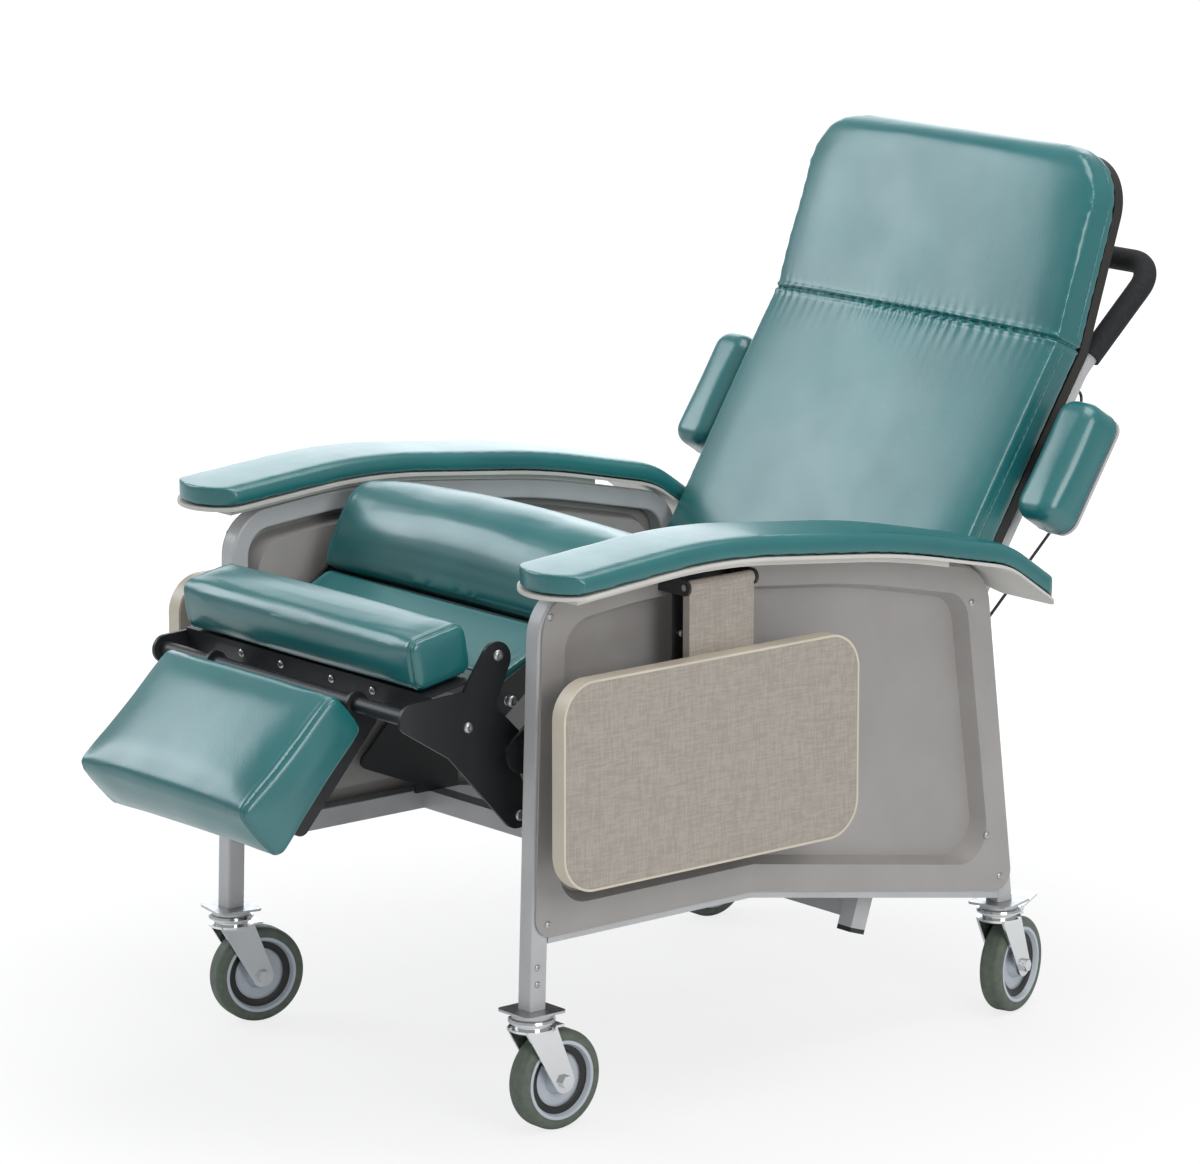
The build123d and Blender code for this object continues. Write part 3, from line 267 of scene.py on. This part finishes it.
def foam_rubber(colour):
    """Closed-cell foam sleeve: dull black with open pores on its skin."""
    material, tree, shader, place = new_material("closed-cell foam", colour, 0.82, IOR=1.45)
    pores = add_node(tree, "ShaderNodeTexVoronoi", {"Vector": place}, Scale=1000 / 1.4)
    bump(tree, shader, pores.outputs["Distance"], 0.35, 0.3)
    mottle(tree, shader, place, colour, "#1B1C1E", 6)
    return material


def tread_rubber(colour, shade):
    """Moulded thermoplastic rubber: soft, slightly dusty, worn smooth on the tread."""
    material, tree, shader, place = new_material("thermoplastic rubber", colour, 0.6, IOR=1.5)
    mottle(tree, shader, place, colour, shade, 9)
    dust = add_node(tree, "ShaderNodeTexNoise", {"Vector": place}, Scale=1000 / 1.2, Detail=3.0)
    bump(tree, shader, dust.outputs["Fac"], 0.2, 0.2)
    vary_roughness(tree, shader, place, 0.5, 0.7, 14)
    return material


def stained_ply(light, dark):
    """Birch plywood with a dark stain: long grain along the chair, darker in the pores."""
    material, tree, shader, place = new_material("stained birch plywood", light, 0.6, IOR=1.5)
    along = add_node(tree, "ShaderNodeMapping", {"Vector": place})
    along.inputs["Scale"].default_value = (1000 / 6, 1000 / 90, 1000 / 90)
    grain = add_node(tree, "ShaderNodeTexNoise", {"Vector": along.outputs["Vector"]}, Scale=1.0, Detail=6.0)
    ramp = add_node(tree, "ShaderNodeValToRGB", {"Fac": grain.outputs["Fac"]})
    ramp.color_ramp.elements[0].color = (*linear(dark), 1)
    ramp.color_ramp.elements[1].color = (*linear(light), 1)
    tree.links.new(ramp.outputs["Color"], shader.inputs["Base Color"])
    bump(tree, shader, grain.outputs["Fac"], 0.15, 0.2)
    return material


# Shaping helpers
def select_only(piece):
    """Leave edit mode, deselect everything, and make one object active."""
    if bpy.context.object and bpy.context.object.mode != "OBJECT":
        bpy.ops.object.mode_set(mode="OBJECT")
    bpy.ops.object.select_all(action="DESELECT")
    piece.select_set(True)
    bpy.context.view_layer.objects.active = piece


def apply_modifier(piece, kind, name, **settings):
    """Add a modifier with its settings and apply it."""
    select_only(piece)
    modifier = piece.modifiers.new(name, kind)
    for key, value in settings.items():
        setattr(modifier, key, value)
    bpy.ops.object.modifier_apply(modifier=modifier.name)


def points_of(piece):
    """A mesh's points as rows of x, y, z."""
    flat = np.empty(len(piece.data.vertices) * 3)
    piece.data.vertices.foreach_get("co", flat)
    return flat.reshape(-1, 3)


def normals_of(piece):
    """A mesh's point normals as rows of x, y, z."""
    flat = np.empty(len(piece.data.vertices) * 3)
    piece.data.vertices.foreach_get("normal", flat)
    return flat.reshape(-1, 3)


def set_points(piece, points):
    """Write a mesh's points back."""
    piece.data.vertices.foreach_set("co", points.ravel())
    piece.data.update()


def even_copy(nodes, name, voxel_mm, draw_in_mm, softening=3):
    """Copy soft solids to one new object with an even mesh, a little smaller than they are."""
    shells = []
    for node in nodes:
        shell = bpy.data.objects.new(name, frame["nodes"][node].data.copy())
        bpy.context.scene.collection.objects.link(shell)
        shell.data.materials.clear()
        shells.append(shell)
    piece = shells[0]
    select_only(piece)
    if len(shells) > 1:
        for shell in shells:
            shell.select_set(True)
        bpy.ops.object.join()
    bpy.ops.object.mode_set(mode="EDIT")
    bpy.ops.mesh.select_all(action="SELECT")
    bpy.ops.mesh.remove_doubles(threshold=mm(0.02))
    bpy.ops.object.mode_set(mode="OBJECT")
    # Solids that share one cover are a sewn seam apart, so they grow until they meet
    growth_mm = SEAM_GROWTH if len(shells) > 1 else 0.0
    set_points(piece, points_of(piece) + normals_of(piece) * mm(growth_mm))
    apply_modifier(piece, "REMESH", "Even faces", mode="VOXEL", voxel_size=mm(voxel_mm))
    apply_modifier(piece, "SMOOTH", "Soft corners", factor=0.5, iterations=softening)
    set_points(piece, points_of(piece) - normals_of(piece) * mm(draw_in_mm + growth_mm))
    return piece


def even_out(piece, field, rounds):
    """Average a field of vectors over each point's neighbours, so that no short wrinkle is left."""
    ends = np.empty(2 * len(piece.data.edges), dtype=np.int64)
    piece.data.edges.foreach_get("vertices", ends)
    one, other = ends[0::2], ends[1::2]
    count = len(field)
    neighbours = np.bincount(one, minlength=count) + np.bincount(other, minlength=count)
    for _ in range(rounds):
        for axis in range(3):
            column = field[:, axis]
            total = np.bincount(one, column[other], count) + np.bincount(other, column[one], count)
            field[:, axis] = (column + total / neighbours) / 2
    return field


def inflate(piece, pressure, cap_mm):
    """Let the filling press the cover outward, and hold each point within cap_mm of its start."""
    start = points_of(piece)
    scene = bpy.context.scene
    cloth = piece.modifiers.new("Filling", "CLOTH")
    cloth.settings.use_pressure = True
    cloth.settings.uniform_pressure_force = pressure
    cloth.settings.effector_weights.gravity = 0
    cloth.point_cache.frame_start = 1
    cloth.point_cache.frame_end = SIMULATED_FRAMES
    for step in range(1, SIMULATED_FRAMES + 1):
        scene.frame_set(step)
    select_only(piece)
    bpy.ops.object.modifier_apply(modifier=cloth.name)
    scene.frame_set(1)
    moved = points_of(piece) - start
    length = np.linalg.norm(moved, axis=1, keepdims=True)
    kept = np.minimum(1.0, mm(cap_mm) / np.maximum(length, 1e-9))
    set_points(piece, start + even_out(piece, moved * kept, TAUT_ROUNDS))
    apply_modifier(piece, "SUBSURF", "Smooth cover", levels=1, render_levels=1)


def press_seam(piece, place, normal, depth_mm, half_width_mm=3.0, keep=None):
    """Cut a sewn seam where a plane meets the cover: a narrow valley between two slight ridges.

    place is a point of the plane, normal its direction, and keep picks the points it may move."""
    normal = Vector(normal).normalized()
    select_only(piece)
    for step in (-2, -1, 0, 1, 2):
        bpy.ops.object.mode_set(mode="EDIT")
        bpy.ops.mesh.select_all(action="SELECT")
        at = Vector(place) + normal * mm(half_width_mm) * step * 0.6
        bpy.ops.mesh.bisect(plane_co=at, plane_no=normal, use_fill=False)
        bpy.ops.object.mode_set(mode="OBJECT")
    points = points_of(piece)
    away = (points - np.array(place)) @ np.array(normal) / mm(half_width_mm)
    valley = -np.exp(-(away / 0.55) ** 2) + 0.45 * np.exp(-((np.abs(away) - 1.35) / 0.6) ** 2)
    if keep is not None:
        valley = valley * keep(points)
    set_points(piece, points + normals_of(piece) * (valley * mm(depth_mm))[:, None])


def finish_soft(piece, nodes, body):
    select_only(piece)
    bpy.ops.object.shade_smooth()
    piece.data.materials.append(bpy.data.materials["vinyl upholstery cloth"])
    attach(piece, body)
    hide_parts(*nodes)


def finish_hard(piece, body, material, smooth_angle=35.0):
    """Put a hard piece's place into its mesh, shade it, and make it ride."""
    select_only(piece)
    bpy.ops.object.transform_apply(location=True, rotation=True, scale=True)
    bpy.ops.object.shade_smooth_by_angle(angle=radians(smooth_angle))
    piece.data.materials.clear()
    piece.data.materials.append(bpy.data.materials[material])
    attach(piece, body)


def turn_profile(name, profile, steps=40):
    """Spin a profile of (radius, height) points round Z, as on a lathe, and close its poles."""
    mesh = bpy.data.meshes.new(name)
    mesh.from_pydata(
        [(mm(radius), 0, mm(height)) for radius, height in profile],
        [(i, i + 1) for i in range(len(profile) - 1)], [],
    )
    piece = bpy.data.objects.new(name, mesh)
    bpy.context.scene.collection.objects.link(piece)
    select_only(piece)
    bpy.ops.object.mode_set(mode="EDIT")
    bpy.ops.mesh.select_all(action="SELECT")
    bpy.ops.mesh.spin(steps=steps, angle=2 * pi, center=(0, 0, 0), axis=(0, 0, 1))
    bpy.ops.mesh.select_all(action="SELECT")
    bpy.ops.mesh.remove_doubles(threshold=mm(0.01))
    bpy.ops.mesh.normals_make_consistent(inside=False)
    bpy.ops.object.mode_set(mode="OBJECT")
    return piece


def copies(model, name, places):
    """Copy a model to each place, a (point, axis) pair, join the copies and drop the model."""
    made = []
    for point, axis in places:
        twin = bpy.data.objects.new(name, model.data.copy())
        bpy.context.scene.collection.objects.link(twin)
        turn = Vector((0, 0, 1)).rotation_difference(Vector(axis)).to_matrix().to_4x4()
        twin.data.transform(Matrix.Translation(point) @ turn)
        made.append(twin)
    bpy.data.objects.remove(model)
    select_only(made[0])
    for twin in made:
        twin.select_set(True)
    if len(made) > 1:
        bpy.ops.object.join()
    return bpy.context.view_layer.objects.active


def button_head(radius_mm, height_mm):
    """A domed screw head with a hexagonal socket."""
    profile = [
        (0, 0), (radius_mm, 0), (radius_mm, height_mm * 0.35), (radius_mm * 0.82, height_mm * 0.8),
        (radius_mm * 0.55, height_mm), (0, height_mm),
    ]
    head = turn_profile("screw model", profile, steps=24)
    bpy.ops.mesh.primitive_cylinder_add(
        vertices=6, radius=mm(radius_mm * 0.42), depth=mm(height_mm), location=(0, 0, mm(height_mm))
    )
    socket = bpy.context.object
    apply_modifier(head, "BOOLEAN", "Socket", operation="DIFFERENCE", object=socket, solver="EXACT")
    bpy.data.objects.remove(socket)
    return head


# Settings of the add-on
class UpholsterySettings(bpy.types.PropertyGroup):
    """Cover and filling of every cushion."""

    grain_mm: FloatProperty(
        name="Grain", default=2.4,
        description="Cell size of the embossed grain, in millimetres",
    )
    voxel_mm: FloatProperty(
        name="Face size", default=6.0,
        description="Face size of the covers' meshes, in millimetres",
    )
    pressure: FloatProperty(
        name="Pressure", default=4.0,
        description="How hard the filling presses on the cover",
    )
    swell_mm: FloatProperty(
        name="Swell", default=6.0,
        description="How far the filling may move the cover, in millimetres",
    )
    seam_depth_mm: FloatProperty(
        name="Seam depth", default=1.6,
        description="Depth of a sewn seam, in millimetres",
    )


class HardwareSettings(bpy.types.PropertyGroup):
    """Screws, rivets and caster fittings."""

    bolt_radius_mm: FloatProperty(
        name="Bolt head", default=7.0,
        description="Radius of the frame's bolt heads, in millimetres",
    )
    screw_radius_mm: FloatProperty(
        name="Screw head", default=4.5,
        description="Radius of the panels' screw heads, in millimetres",
    )
    rivet_radius_mm: FloatProperty(
        name="Rivet head", default=5.0,
        description="Radius of the rivets, in millimetres",
    )


class StageSettings(bpy.types.PropertyGroup):
    """Camera, lamps and floor."""

    key_watts: FloatProperty(
        name="Key light", default=66.0,
        description="Power of the big soft lamp at the left",
    )
    backdrop_watts: FloatProperty(
        name="Backdrop light", default=105.0,
        description="Power of the white wall behind the chair",
    )
    top_watts: FloatProperty(name="Top light", description="Power of the lamp overhead", default=70.0)
    fill_watts: FloatProperty(
        name="Fill light", default=50.0,
        description="Power of the lamp at the right",
    )
    glow: FloatProperty(
        name="Glow", default=0.79,
        description="Light that the floor adds for the camera near the chair",
    )
    shadow_share: FloatProperty(
        name="Shadow", default=0.16,
        description="How much of the floor's tone the shadows can take away",
    )
    glow_near: FloatProperty(
        name="Glow from", subtype="DISTANCE", default=0.6,
        description="Where the glow starts to rise",
    )
    glow_far: FloatProperty(
        name="Glow to", subtype="DISTANCE", default=2.2,
        description="Where the floor is plain white",
    )
    floor_size: FloatProperty(
        name="Floor", subtype="DISTANCE", default=80.0,
        description="Side of the floor",
    )
    lens_mm: FloatProperty(
        name="Lens", default=175.8,
        description="Focal length on a 36 mm sensor, in millimetres",
    )


class CHAIR_OT_finishes(bpy.types.Operator):
    """Give every rigid CAD piece its finish"""

    bl_idname = "chair.finishes"
    bl_label = "Finishes"

    def execute(self, context):
        look = context.scene.chair_upholstery
        finishes = {
            "vinyl": coated_vinyl("#156A6C", "#126265", look.grain_mm),
            "frame_paint": powder_coat("silver powder coat", "#B8B9BB", "#B1B2B4", 0.38),
            "panel_plastic": moulded_plastic("taupe grey ABS", "#9E9B99", "#989593", 0.4),
            "arm_base_plastic": moulded_plastic("pale grey ABS", "#C9C7C2", "#C2C0BB", 0.45),
            "dark_metal": powder_coat("black powder coat", "#1B1D20", "#17191B", 0.5),
            "steel": bright_metal("zinc-plated steel", "#B9BABB", 0.28, 0.42),
            "chrome": bright_metal("chrome plate", "#DDDFE0", 0.10, 0.2),
            "board": stained_ply("#2C2A28", "#1F1E1D"),
            "laminate": linen_laminate("#A39C93", "#948D84", 2.2),
            "tray_edge": moulded_plastic("cream PVC edging", "#CBC2B1", "#C4BBAA", 0.4),
            "black_plastic": moulded_plastic("black nylon", "#1A1B1D", "#161719", 0.45),
            "foam": foam_rubber("#232426"),
            "hub_plastic": moulded_plastic("blue-grey nylon", "#BCC3CC", "#B5BCC5", 0.4),
            "tyre_rubber": tread_rubber("#5C665B", "#525C52"),
            "pedal_plastic": bright_metal("chrome plate, pedals", "#D6D8DA", 0.14, 0.26),
        }
        slots = {entry["node"]: entry["material_slot"] for entry in frame["record"]["subparts"]}
        for node, piece in frame["nodes"].items():
            piece.data.materials.clear()
            piece.data.materials.append(finishes[slots[node]])
        return {"FINISHED"}


def soft_piece(nodes, name, look, cap_mm=None, voxel_mm=None, softening=3):
    """The even, filled cover of one soft solid, or of several that share a cover."""
    piece = even_copy(nodes, name, voxel_mm or look.voxel_mm, look.swell_mm * 0.35, softening)
    inflate(piece, look.pressure, cap_mm or look.swell_mm)
    return piece


def box_seams(piece, half_mm, inset_mm, depth_mm):
    """Sew the end panels of a cushion to its cover, inset_mm from both ends."""
    for side in (-1, 1):
        at = (side * mm(half_mm - inset_mm), 0, 0)
        press_seam(piece, at, (1, 0, 0), depth_mm)


def gather(piece, line, up, reach_mm, height_mm, sign):
    """Ruck a cover where it is gathered into a seam, in short folds that fade with distance."""
    points = points_of(piece)
    away = (points - np.array(line)) @ np.array(up) * sign / mm(1)
    across = points[:, 0] / mm(1)
    folds = np.sin(across * 2 * pi / 17.0 + 1.9 * np.sin(across / 41.0) + 0.7 * np.sin(across / 13.0))
    folds = folds * (0.65 + 0.35 * np.sin(across / 67.0 + 1.0))
    fade = np.exp(-np.maximum(away, 0) / reach_mm) * (away > -2)
    set_points(piece, points + normals_of(piece) * (folds * fade * mm(height_mm))[:, None])


class CHAIR_OT_back(bpy.types.Operator):
    """Upholster the back and the head section, with the gathered seam between them"""

    bl_idname = "chair.back"
    bl_label = "Back and head section"

    def execute(self, context):
        look = context.scene.chair_upholstery
        face = face_of(BACK_ANGLE)
        up = up_of(BACK_ANGLE)
        seam = tilted(BACK_CORNER, BACK_ANGLE, 0, BACK_SEAM)
        head_face = face_of(HEAD_ANGLE)
        head_up = up_of(HEAD_ANGLE)
        nodes = ("back_cushion", "head_cushion")
        cover = soft_piece(nodes, "back_cover", look, voxel_mm=7.0, softening=10)
        seam_up = (up + head_up).normalized()

        def below(points):
            return ((points - np.array(seam)) @ np.array(seam_up) < -mm(10)).astype(float)

        def above(points):
            return ((points - np.array(seam)) @ np.array(seam_up) > mm(10)).astype(float)

        press_seam(cover, seam, seam_up, look.seam_depth_mm * 2.0, 3.5)
        edge_depth = look.seam_depth_mm * 0.7
        back_edge = tilted(BACK_CORNER, BACK_ANGLE, BACK_EDGE_SEAM, 0)
        press_seam(cover, back_edge, face, edge_depth, keep=below)
        press_seam(cover, seam + head_face * mm(HEAD_EDGE_SEAM), head_face, edge_depth, keep=above)
        gather(cover, seam, seam_up, 15.0, 1.5, -1)
        gather(cover, seam, seam_up, 8.0, 1.0, 1)
        finish_soft(cover, nodes, "back")
        return {"FINISHED"}


class CHAIR_OT_seat(bpy.types.Operator):
    """Upholster the seat cushion and the flap under its front edge"""

    bl_idname = "chair.seat"
    bl_label = "Seat"

    def execute(self, context):
        look = context.scene.chair_upholstery
        seat = soft_piece(("seat_cushion",), "seat_cover", look, cap_mm=8.0, voxel_mm=7.0)
        box_seams(seat, SEAT_HALF, 15, look.seam_depth_mm)
        finish_soft(seat, ("seat_cushion",), "seat")
        flap = soft_piece(("seat_flap",), "flap_cover", look, cap_mm=2.0, voxel_mm=4.0)
        box_seams(flap, FLAP_HALF, 12, 0.8)
        finish_soft(flap, ("seat_flap",), "seat")
        return {"FINISHED"}


class CHAIR_OT_leg_pads(bpy.types.Operator):
    """Upholster the calf pad and the foot pad, with their sewn end panels"""

    bl_idname = "chair.leg_pads"
    bl_label = "Calf and foot pads"

    def execute(self, context):
        look = context.scene.chair_upholstery
        calf = soft_piece(("calf_pad",), "calf_cover", look, cap_mm=4.0, voxel_mm=4.0)
        box_seams(calf, CALF_HALF, 9, look.seam_depth_mm)
        finish_soft(calf, ("calf_pad",), "leg_rest")
        foot = soft_piece(("foot_pad",), "foot_cover", look, cap_mm=5.0, voxel_mm=5.0)
        box_seams(foot, FOOT_HALF, 9, look.seam_depth_mm)
        finish_soft(foot, ("foot_pad",), "foot_rest")
        return {"FINISHED"}


class CHAIR_OT_arm_pads(bpy.types.Operator):
    """Upholster both arm pads"""

    bl_idname = "chair.arm_pads"
    bl_label = "Arm pads"

    def execute(self, context):
        look = context.scene.chair_upholstery
        for side in ("left", "right"):
            node = f"arm_pad_{side}"
            pad = soft_piece((node,), f"arm_cover_{side}", look, cap_mm=1.5, voxel_mm=4.0)
            finish_soft(pad, (node,), "chassis")
        return {"FINISHED"}


class CHAIR_OT_wing_pads(bpy.types.Operator):
    """Upholster the wing pads beside the back, with a hem where the cover meets its plate"""

    bl_idname = "chair.wing_pads"
    bl_label = "Wing pads"

    def execute(self, context):
        look = context.scene.chair_upholstery
        face = face_of(BACK_ANGLE)
        hem = tilted(BACK_CORNER, BACK_ANGLE, WING_REAR - 8.0, WING_MIDDLE)
        for side in ("left", "right"):
            node = f"wing_pad_{side}"
            pad = soft_piece((node,), f"wing_cover_{side}", look, cap_mm=3.0, voxel_mm=3.5)
            press_seam(pad, hem, face, look.seam_depth_mm * 0.8, 2.4)
            finish_soft(pad, (node,), f"wing_{side}")
        return {"FINISHED"}


class CHAIR_OT_fasteners(bpy.types.Operator):
    """Add the bolts, screws and rivets that show on the frame, panels and leg rest"""

    bl_idname = "chair.fasteners"
    bl_label = "Fasteners"

    def execute(self, context):
        sizes = context.scene.chair_hardware
        leg_places = []
        for y, z in LEG_ARM_BOLTS:
            for side in (-1, 1):
                leg_places.append((Vector((side * mm(LEG_ARM_OUTER), mm(y), mm(z))), (side, 0, 0)))
                leg_places.append((Vector((side * mm(LEG_ARM_INNER), mm(y), mm(z))), (-side, 0, 0)))
        bolts = copies(button_head(sizes.bolt_radius_mm, 4.0), "leg_arm_bolts", leg_places)
        finish_hard(bolts, "leg_rest", "zinc-plated steel")

        panel_places = []
        for y, z in PANEL_SCREWS:
            for side in (-1, 1):
                panel_places.append((Vector((side * mm(PANEL_FACE), mm(y), mm(z))), (side, 0, 0)))
        screws = copies(button_head(sizes.screw_radius_mm, 2.2), "panel_screws", panel_places)
        finish_hard(screws, "chassis", "zinc-plated steel")

        leg_screws = []
        for side in (-1, 1):
            for height in LEG_SCREW_HEIGHTS:
                place = Vector((side * mm(LEG_FACE), mm(LEG_MIDDLE), mm(height)))
                leg_screws.append((place, (side, 0, 0)))
        stem_screws = copies(button_head(4.0, 2.0), "stem_screws", leg_screws)
        finish_hard(stem_screws, "chassis", "zinc-plated steel")

        rivet_places = []
        turn = radians(CALF_ANGLE)
        for x in CHANNEL_RIVETS:
            point = tilted(CALF_CORNER, CALF_ANGLE, CHANNEL_FRONT, CHANNEL_RIVET_UP, x)
            rivet_places.append((point, (0, -cos(turn), sin(turn))))
        rivets = copies(button_head(sizes.rivet_radius_mm, 2.5), "channel_rivets", rivet_places)
        finish_hard(rivets, "leg_rest", "zinc-plated steel")
        return {"FINISHED"}


class CHAIR_OT_caster_fittings(bpy.types.Operator):
    """Add the ball race ring to each caster, and on each hub face a black ring of painted shade that stands
    for the shadow in the hub's groove
    """

    bl_idname = "chair.caster_fittings"
    bl_label = "Caster fittings"

    def execute(self, context):
        for corner, (x, y, heading) in STEMS.items():
            turn = Matrix.Rotation(radians(heading), 4, "Z")
            stem = Matrix.Translation((mm(x), mm(y), 0)) @ turn
            race = turn_profile(f"race_ring_{corner}", RACE_PROFILE)
            race.data.transform(stem)
            finish_hard(race, "chassis", "chrome plate")
            for side in (-1, 1):
                face = side * HUB_FACE
                # A black ring on this hub face in the black nylon finish: painted shade standing for the
                # shaded groove, not a part of its own
                ring = turn_profile(
                    f"hub_groove_shade_{corner}_{'inner' if side < 0 else 'outer'}",
                    HUB_GROOVE_SHADE_PROFILE, steps=48,
                )
                lean = Matrix.Rotation(radians(90 * side), 4, "Y")
                hub = Matrix.Translation((mm(face), mm(WHEEL_TRAIL), mm(AXLE_HEIGHT)))
                ring.data.transform(stem @ hub @ lean)
                finish_hard(ring, f"wheel_{corner}", "black nylon")
        return {"FINISHED"}


def area_lamp(name, place, aim, size, watts, colour="#FFFFFF"):
    """A square soft lamp aimed at a point. It lights, and shows in reflections only."""
    lamp = bpy.data.lights.new(name, "AREA")
    lamp.shape = "SQUARE"
    lamp.size = size
    lamp.energy = watts
    lamp.color = linear(colour)
    holder = bpy.data.objects.new(name, lamp)
    bpy.context.scene.collection.objects.link(holder)
    holder.location = place
    holder.visible_camera = False
    holder.rotation_euler = (Vector(aim) - Vector(place)).to_track_quat("-Z", "Y").to_euler()


class CHAIR_OT_stage(bpy.types.Operator):
    """Set up the camera, the lamps and the pale floor"""

    bl_idname = "chair.stage"
    bl_label = "Stage"

    def execute(self, context):
        setup = context.scene.chair_stage
        scene = context.scene
        camera_data = bpy.data.cameras.new("Camera")
        camera_data.lens = setup.lens_mm
        camera_data.sensor_width = 36.0
        camera_data.clip_end = 200.0
        camera = bpy.data.objects.new("Camera", camera_data)
        scene.collection.objects.link(camera)
        camera.location = CAMERA_PLACE
        camera.rotation_euler = (radians(90 - CAMERA_HEIGHT_ANGLE), 0, radians(CAMERA_SIDE_ANGLE))
        scene.camera = camera

        select_only(camera)
        bpy.ops.mesh.primitive_plane_add(size=setup.floor_size, location=(0, 0, 0))
        floor = bpy.context.object
        floor.name = "studio_floor"
        material = bpy.data.materials.new("painted studio floor")
        material.use_nodes = True
        tree = material.node_tree
        tree.nodes.clear()
        white_paint = add_node(tree, "ShaderNodeBsdfDiffuse", Color=(0.86, 0.86, 0.86, 1))
        faint = setup.shadow_share
        seen_paint = add_node(tree, "ShaderNodeBsdfDiffuse", Color=(faint, faint, faint, 1))
        place = add_node(tree, "ShaderNodeTexCoord").outputs["Object"]
        distance = add_node(tree, "ShaderNodeVectorMath", {0: place}, operation="LENGTH")
        rising = add_node(
            tree, "ShaderNodeMapRange", {"Value": distance.outputs["Value"]},
            From_Min=setup.glow_near, From_Max=setup.glow_far, To_Min=setup.glow, To_Max=1.0,
        )
        glow = add_node(tree, "ShaderNodeEmission", {"Strength": rising.outputs["Result"]})
        lit = {0: seen_paint.outputs["BSDF"], 1: glow.outputs["Emission"]}
        seen = add_node(tree, "ShaderNodeAddShader", lit)
        rays = add_node(tree, "ShaderNodeLightPath")
        total = add_node(tree, "ShaderNodeMixShader", {
            0: rays.outputs["Is Camera Ray"], 1: white_paint.outputs["BSDF"], 2: seen.outputs["Shader"],
        })
        add_node(tree, "ShaderNodeOutputMaterial", {"Surface": total.outputs["Shader"]})
        floor.data.materials.append(material)

        world = bpy.data.worlds.new("Studio")
        scene.world = world
        world.use_nodes = True
        tree = world.node_tree
        tree.nodes.clear()
        soft = add_node(tree, "ShaderNodeBackground", Color=(1, 1, 1, 1), Strength=0.45)
        white = add_node(tree, "ShaderNodeBackground", Color=(1, 1, 1, 1), Strength=1.0)
        rays = add_node(tree, "ShaderNodeLightPath")
        mixed = add_node(tree, "ShaderNodeMixShader", {
            0: rays.outputs["Is Camera Ray"], 1: soft.outputs["Background"], 2: white.outputs["Background"],
        })
        add_node(tree, "ShaderNodeOutputWorld", {"Surface": mixed.outputs["Shader"]})

        aim = (0, 0, 0.6)
        area_lamp("Key", (-3.6, -2.2, 2.7), aim, 2.2, setup.key_watts, "#F0F8FF")
        area_lamp("Backdrop", (-3.9, 3.3, 1.9), aim, 4.4, setup.backdrop_watts, "#F0F8FF")
        area_lamp("Top", (0.6, 0.2, 3.6), aim, 2.6, setup.top_watts)
        area_lamp("Fill", (3.8, -0.6, 2.0), aim, 1.8, setup.fill_watts)
        scene.view_settings.view_transform = "Standard"
        return {"FINISHED"}


class CHAIR_PT_panel(bpy.types.Panel):
    """Lists the chair's settings and the operators that build its pieces"""

    bl_idname = "CHAIR_PT_panel"
    bl_label = "Care Chair"
    bl_space_type = "VIEW_3D"
    bl_region_type = "UI"
    bl_category = "Care Chair"

    def draw(self, context):
        layout = self.layout
        for group in ("chair_upholstery", "chair_hardware", "chair_stage"):
            settings = getattr(context.scene, group)
            for key in settings.__annotations__:
                layout.prop(settings, key)
        for operator in operators:
            layout.operator(operator.bl_idname)


operators = [
    CHAIR_OT_finishes, CHAIR_OT_back, CHAIR_OT_seat, CHAIR_OT_leg_pads, CHAIR_OT_arm_pads,
    CHAIR_OT_wing_pads, CHAIR_OT_fasteners, CHAIR_OT_caster_fittings, CHAIR_OT_stage,
]
setting_groups = {
    "chair_upholstery": UpholsterySettings,
    "chair_hardware": HardwareSettings,
    "chair_stage": StageSettings,
}


def register():
    """Register the settings, the operators and the panel."""
    for name, group in setting_groups.items():
        bpy.utils.register_class(group)
        setattr(bpy.types.Scene, name, PointerProperty(type=group))
    for operator in operators:
        bpy.utils.register_class(operator)
    bpy.utils.register_class(CHAIR_PT_panel)


def unregister():
    """Take them all out again."""
    bpy.utils.unregister_class(CHAIR_PT_panel)
    for operator in reversed(operators):
        bpy.utils.unregister_class(operator)
    for name, group in setting_groups.items():
        delattr(bpy.types.Scene, name)
        bpy.utils.unregister_class(group)


def main():
    """Build every piece in order."""
    register()
    bpy.ops.chair.finishes()
    bpy.ops.chair.back()
    bpy.ops.chair.seat()
    bpy.ops.chair.leg_pads()
    bpy.ops.chair.arm_pads()
    bpy.ops.chair.wing_pads()
    bpy.ops.chair.fasteners()
    bpy.ops.chair.caster_fittings()
    bpy.ops.chair.stage()


if __name__ == "__main__":
    main()
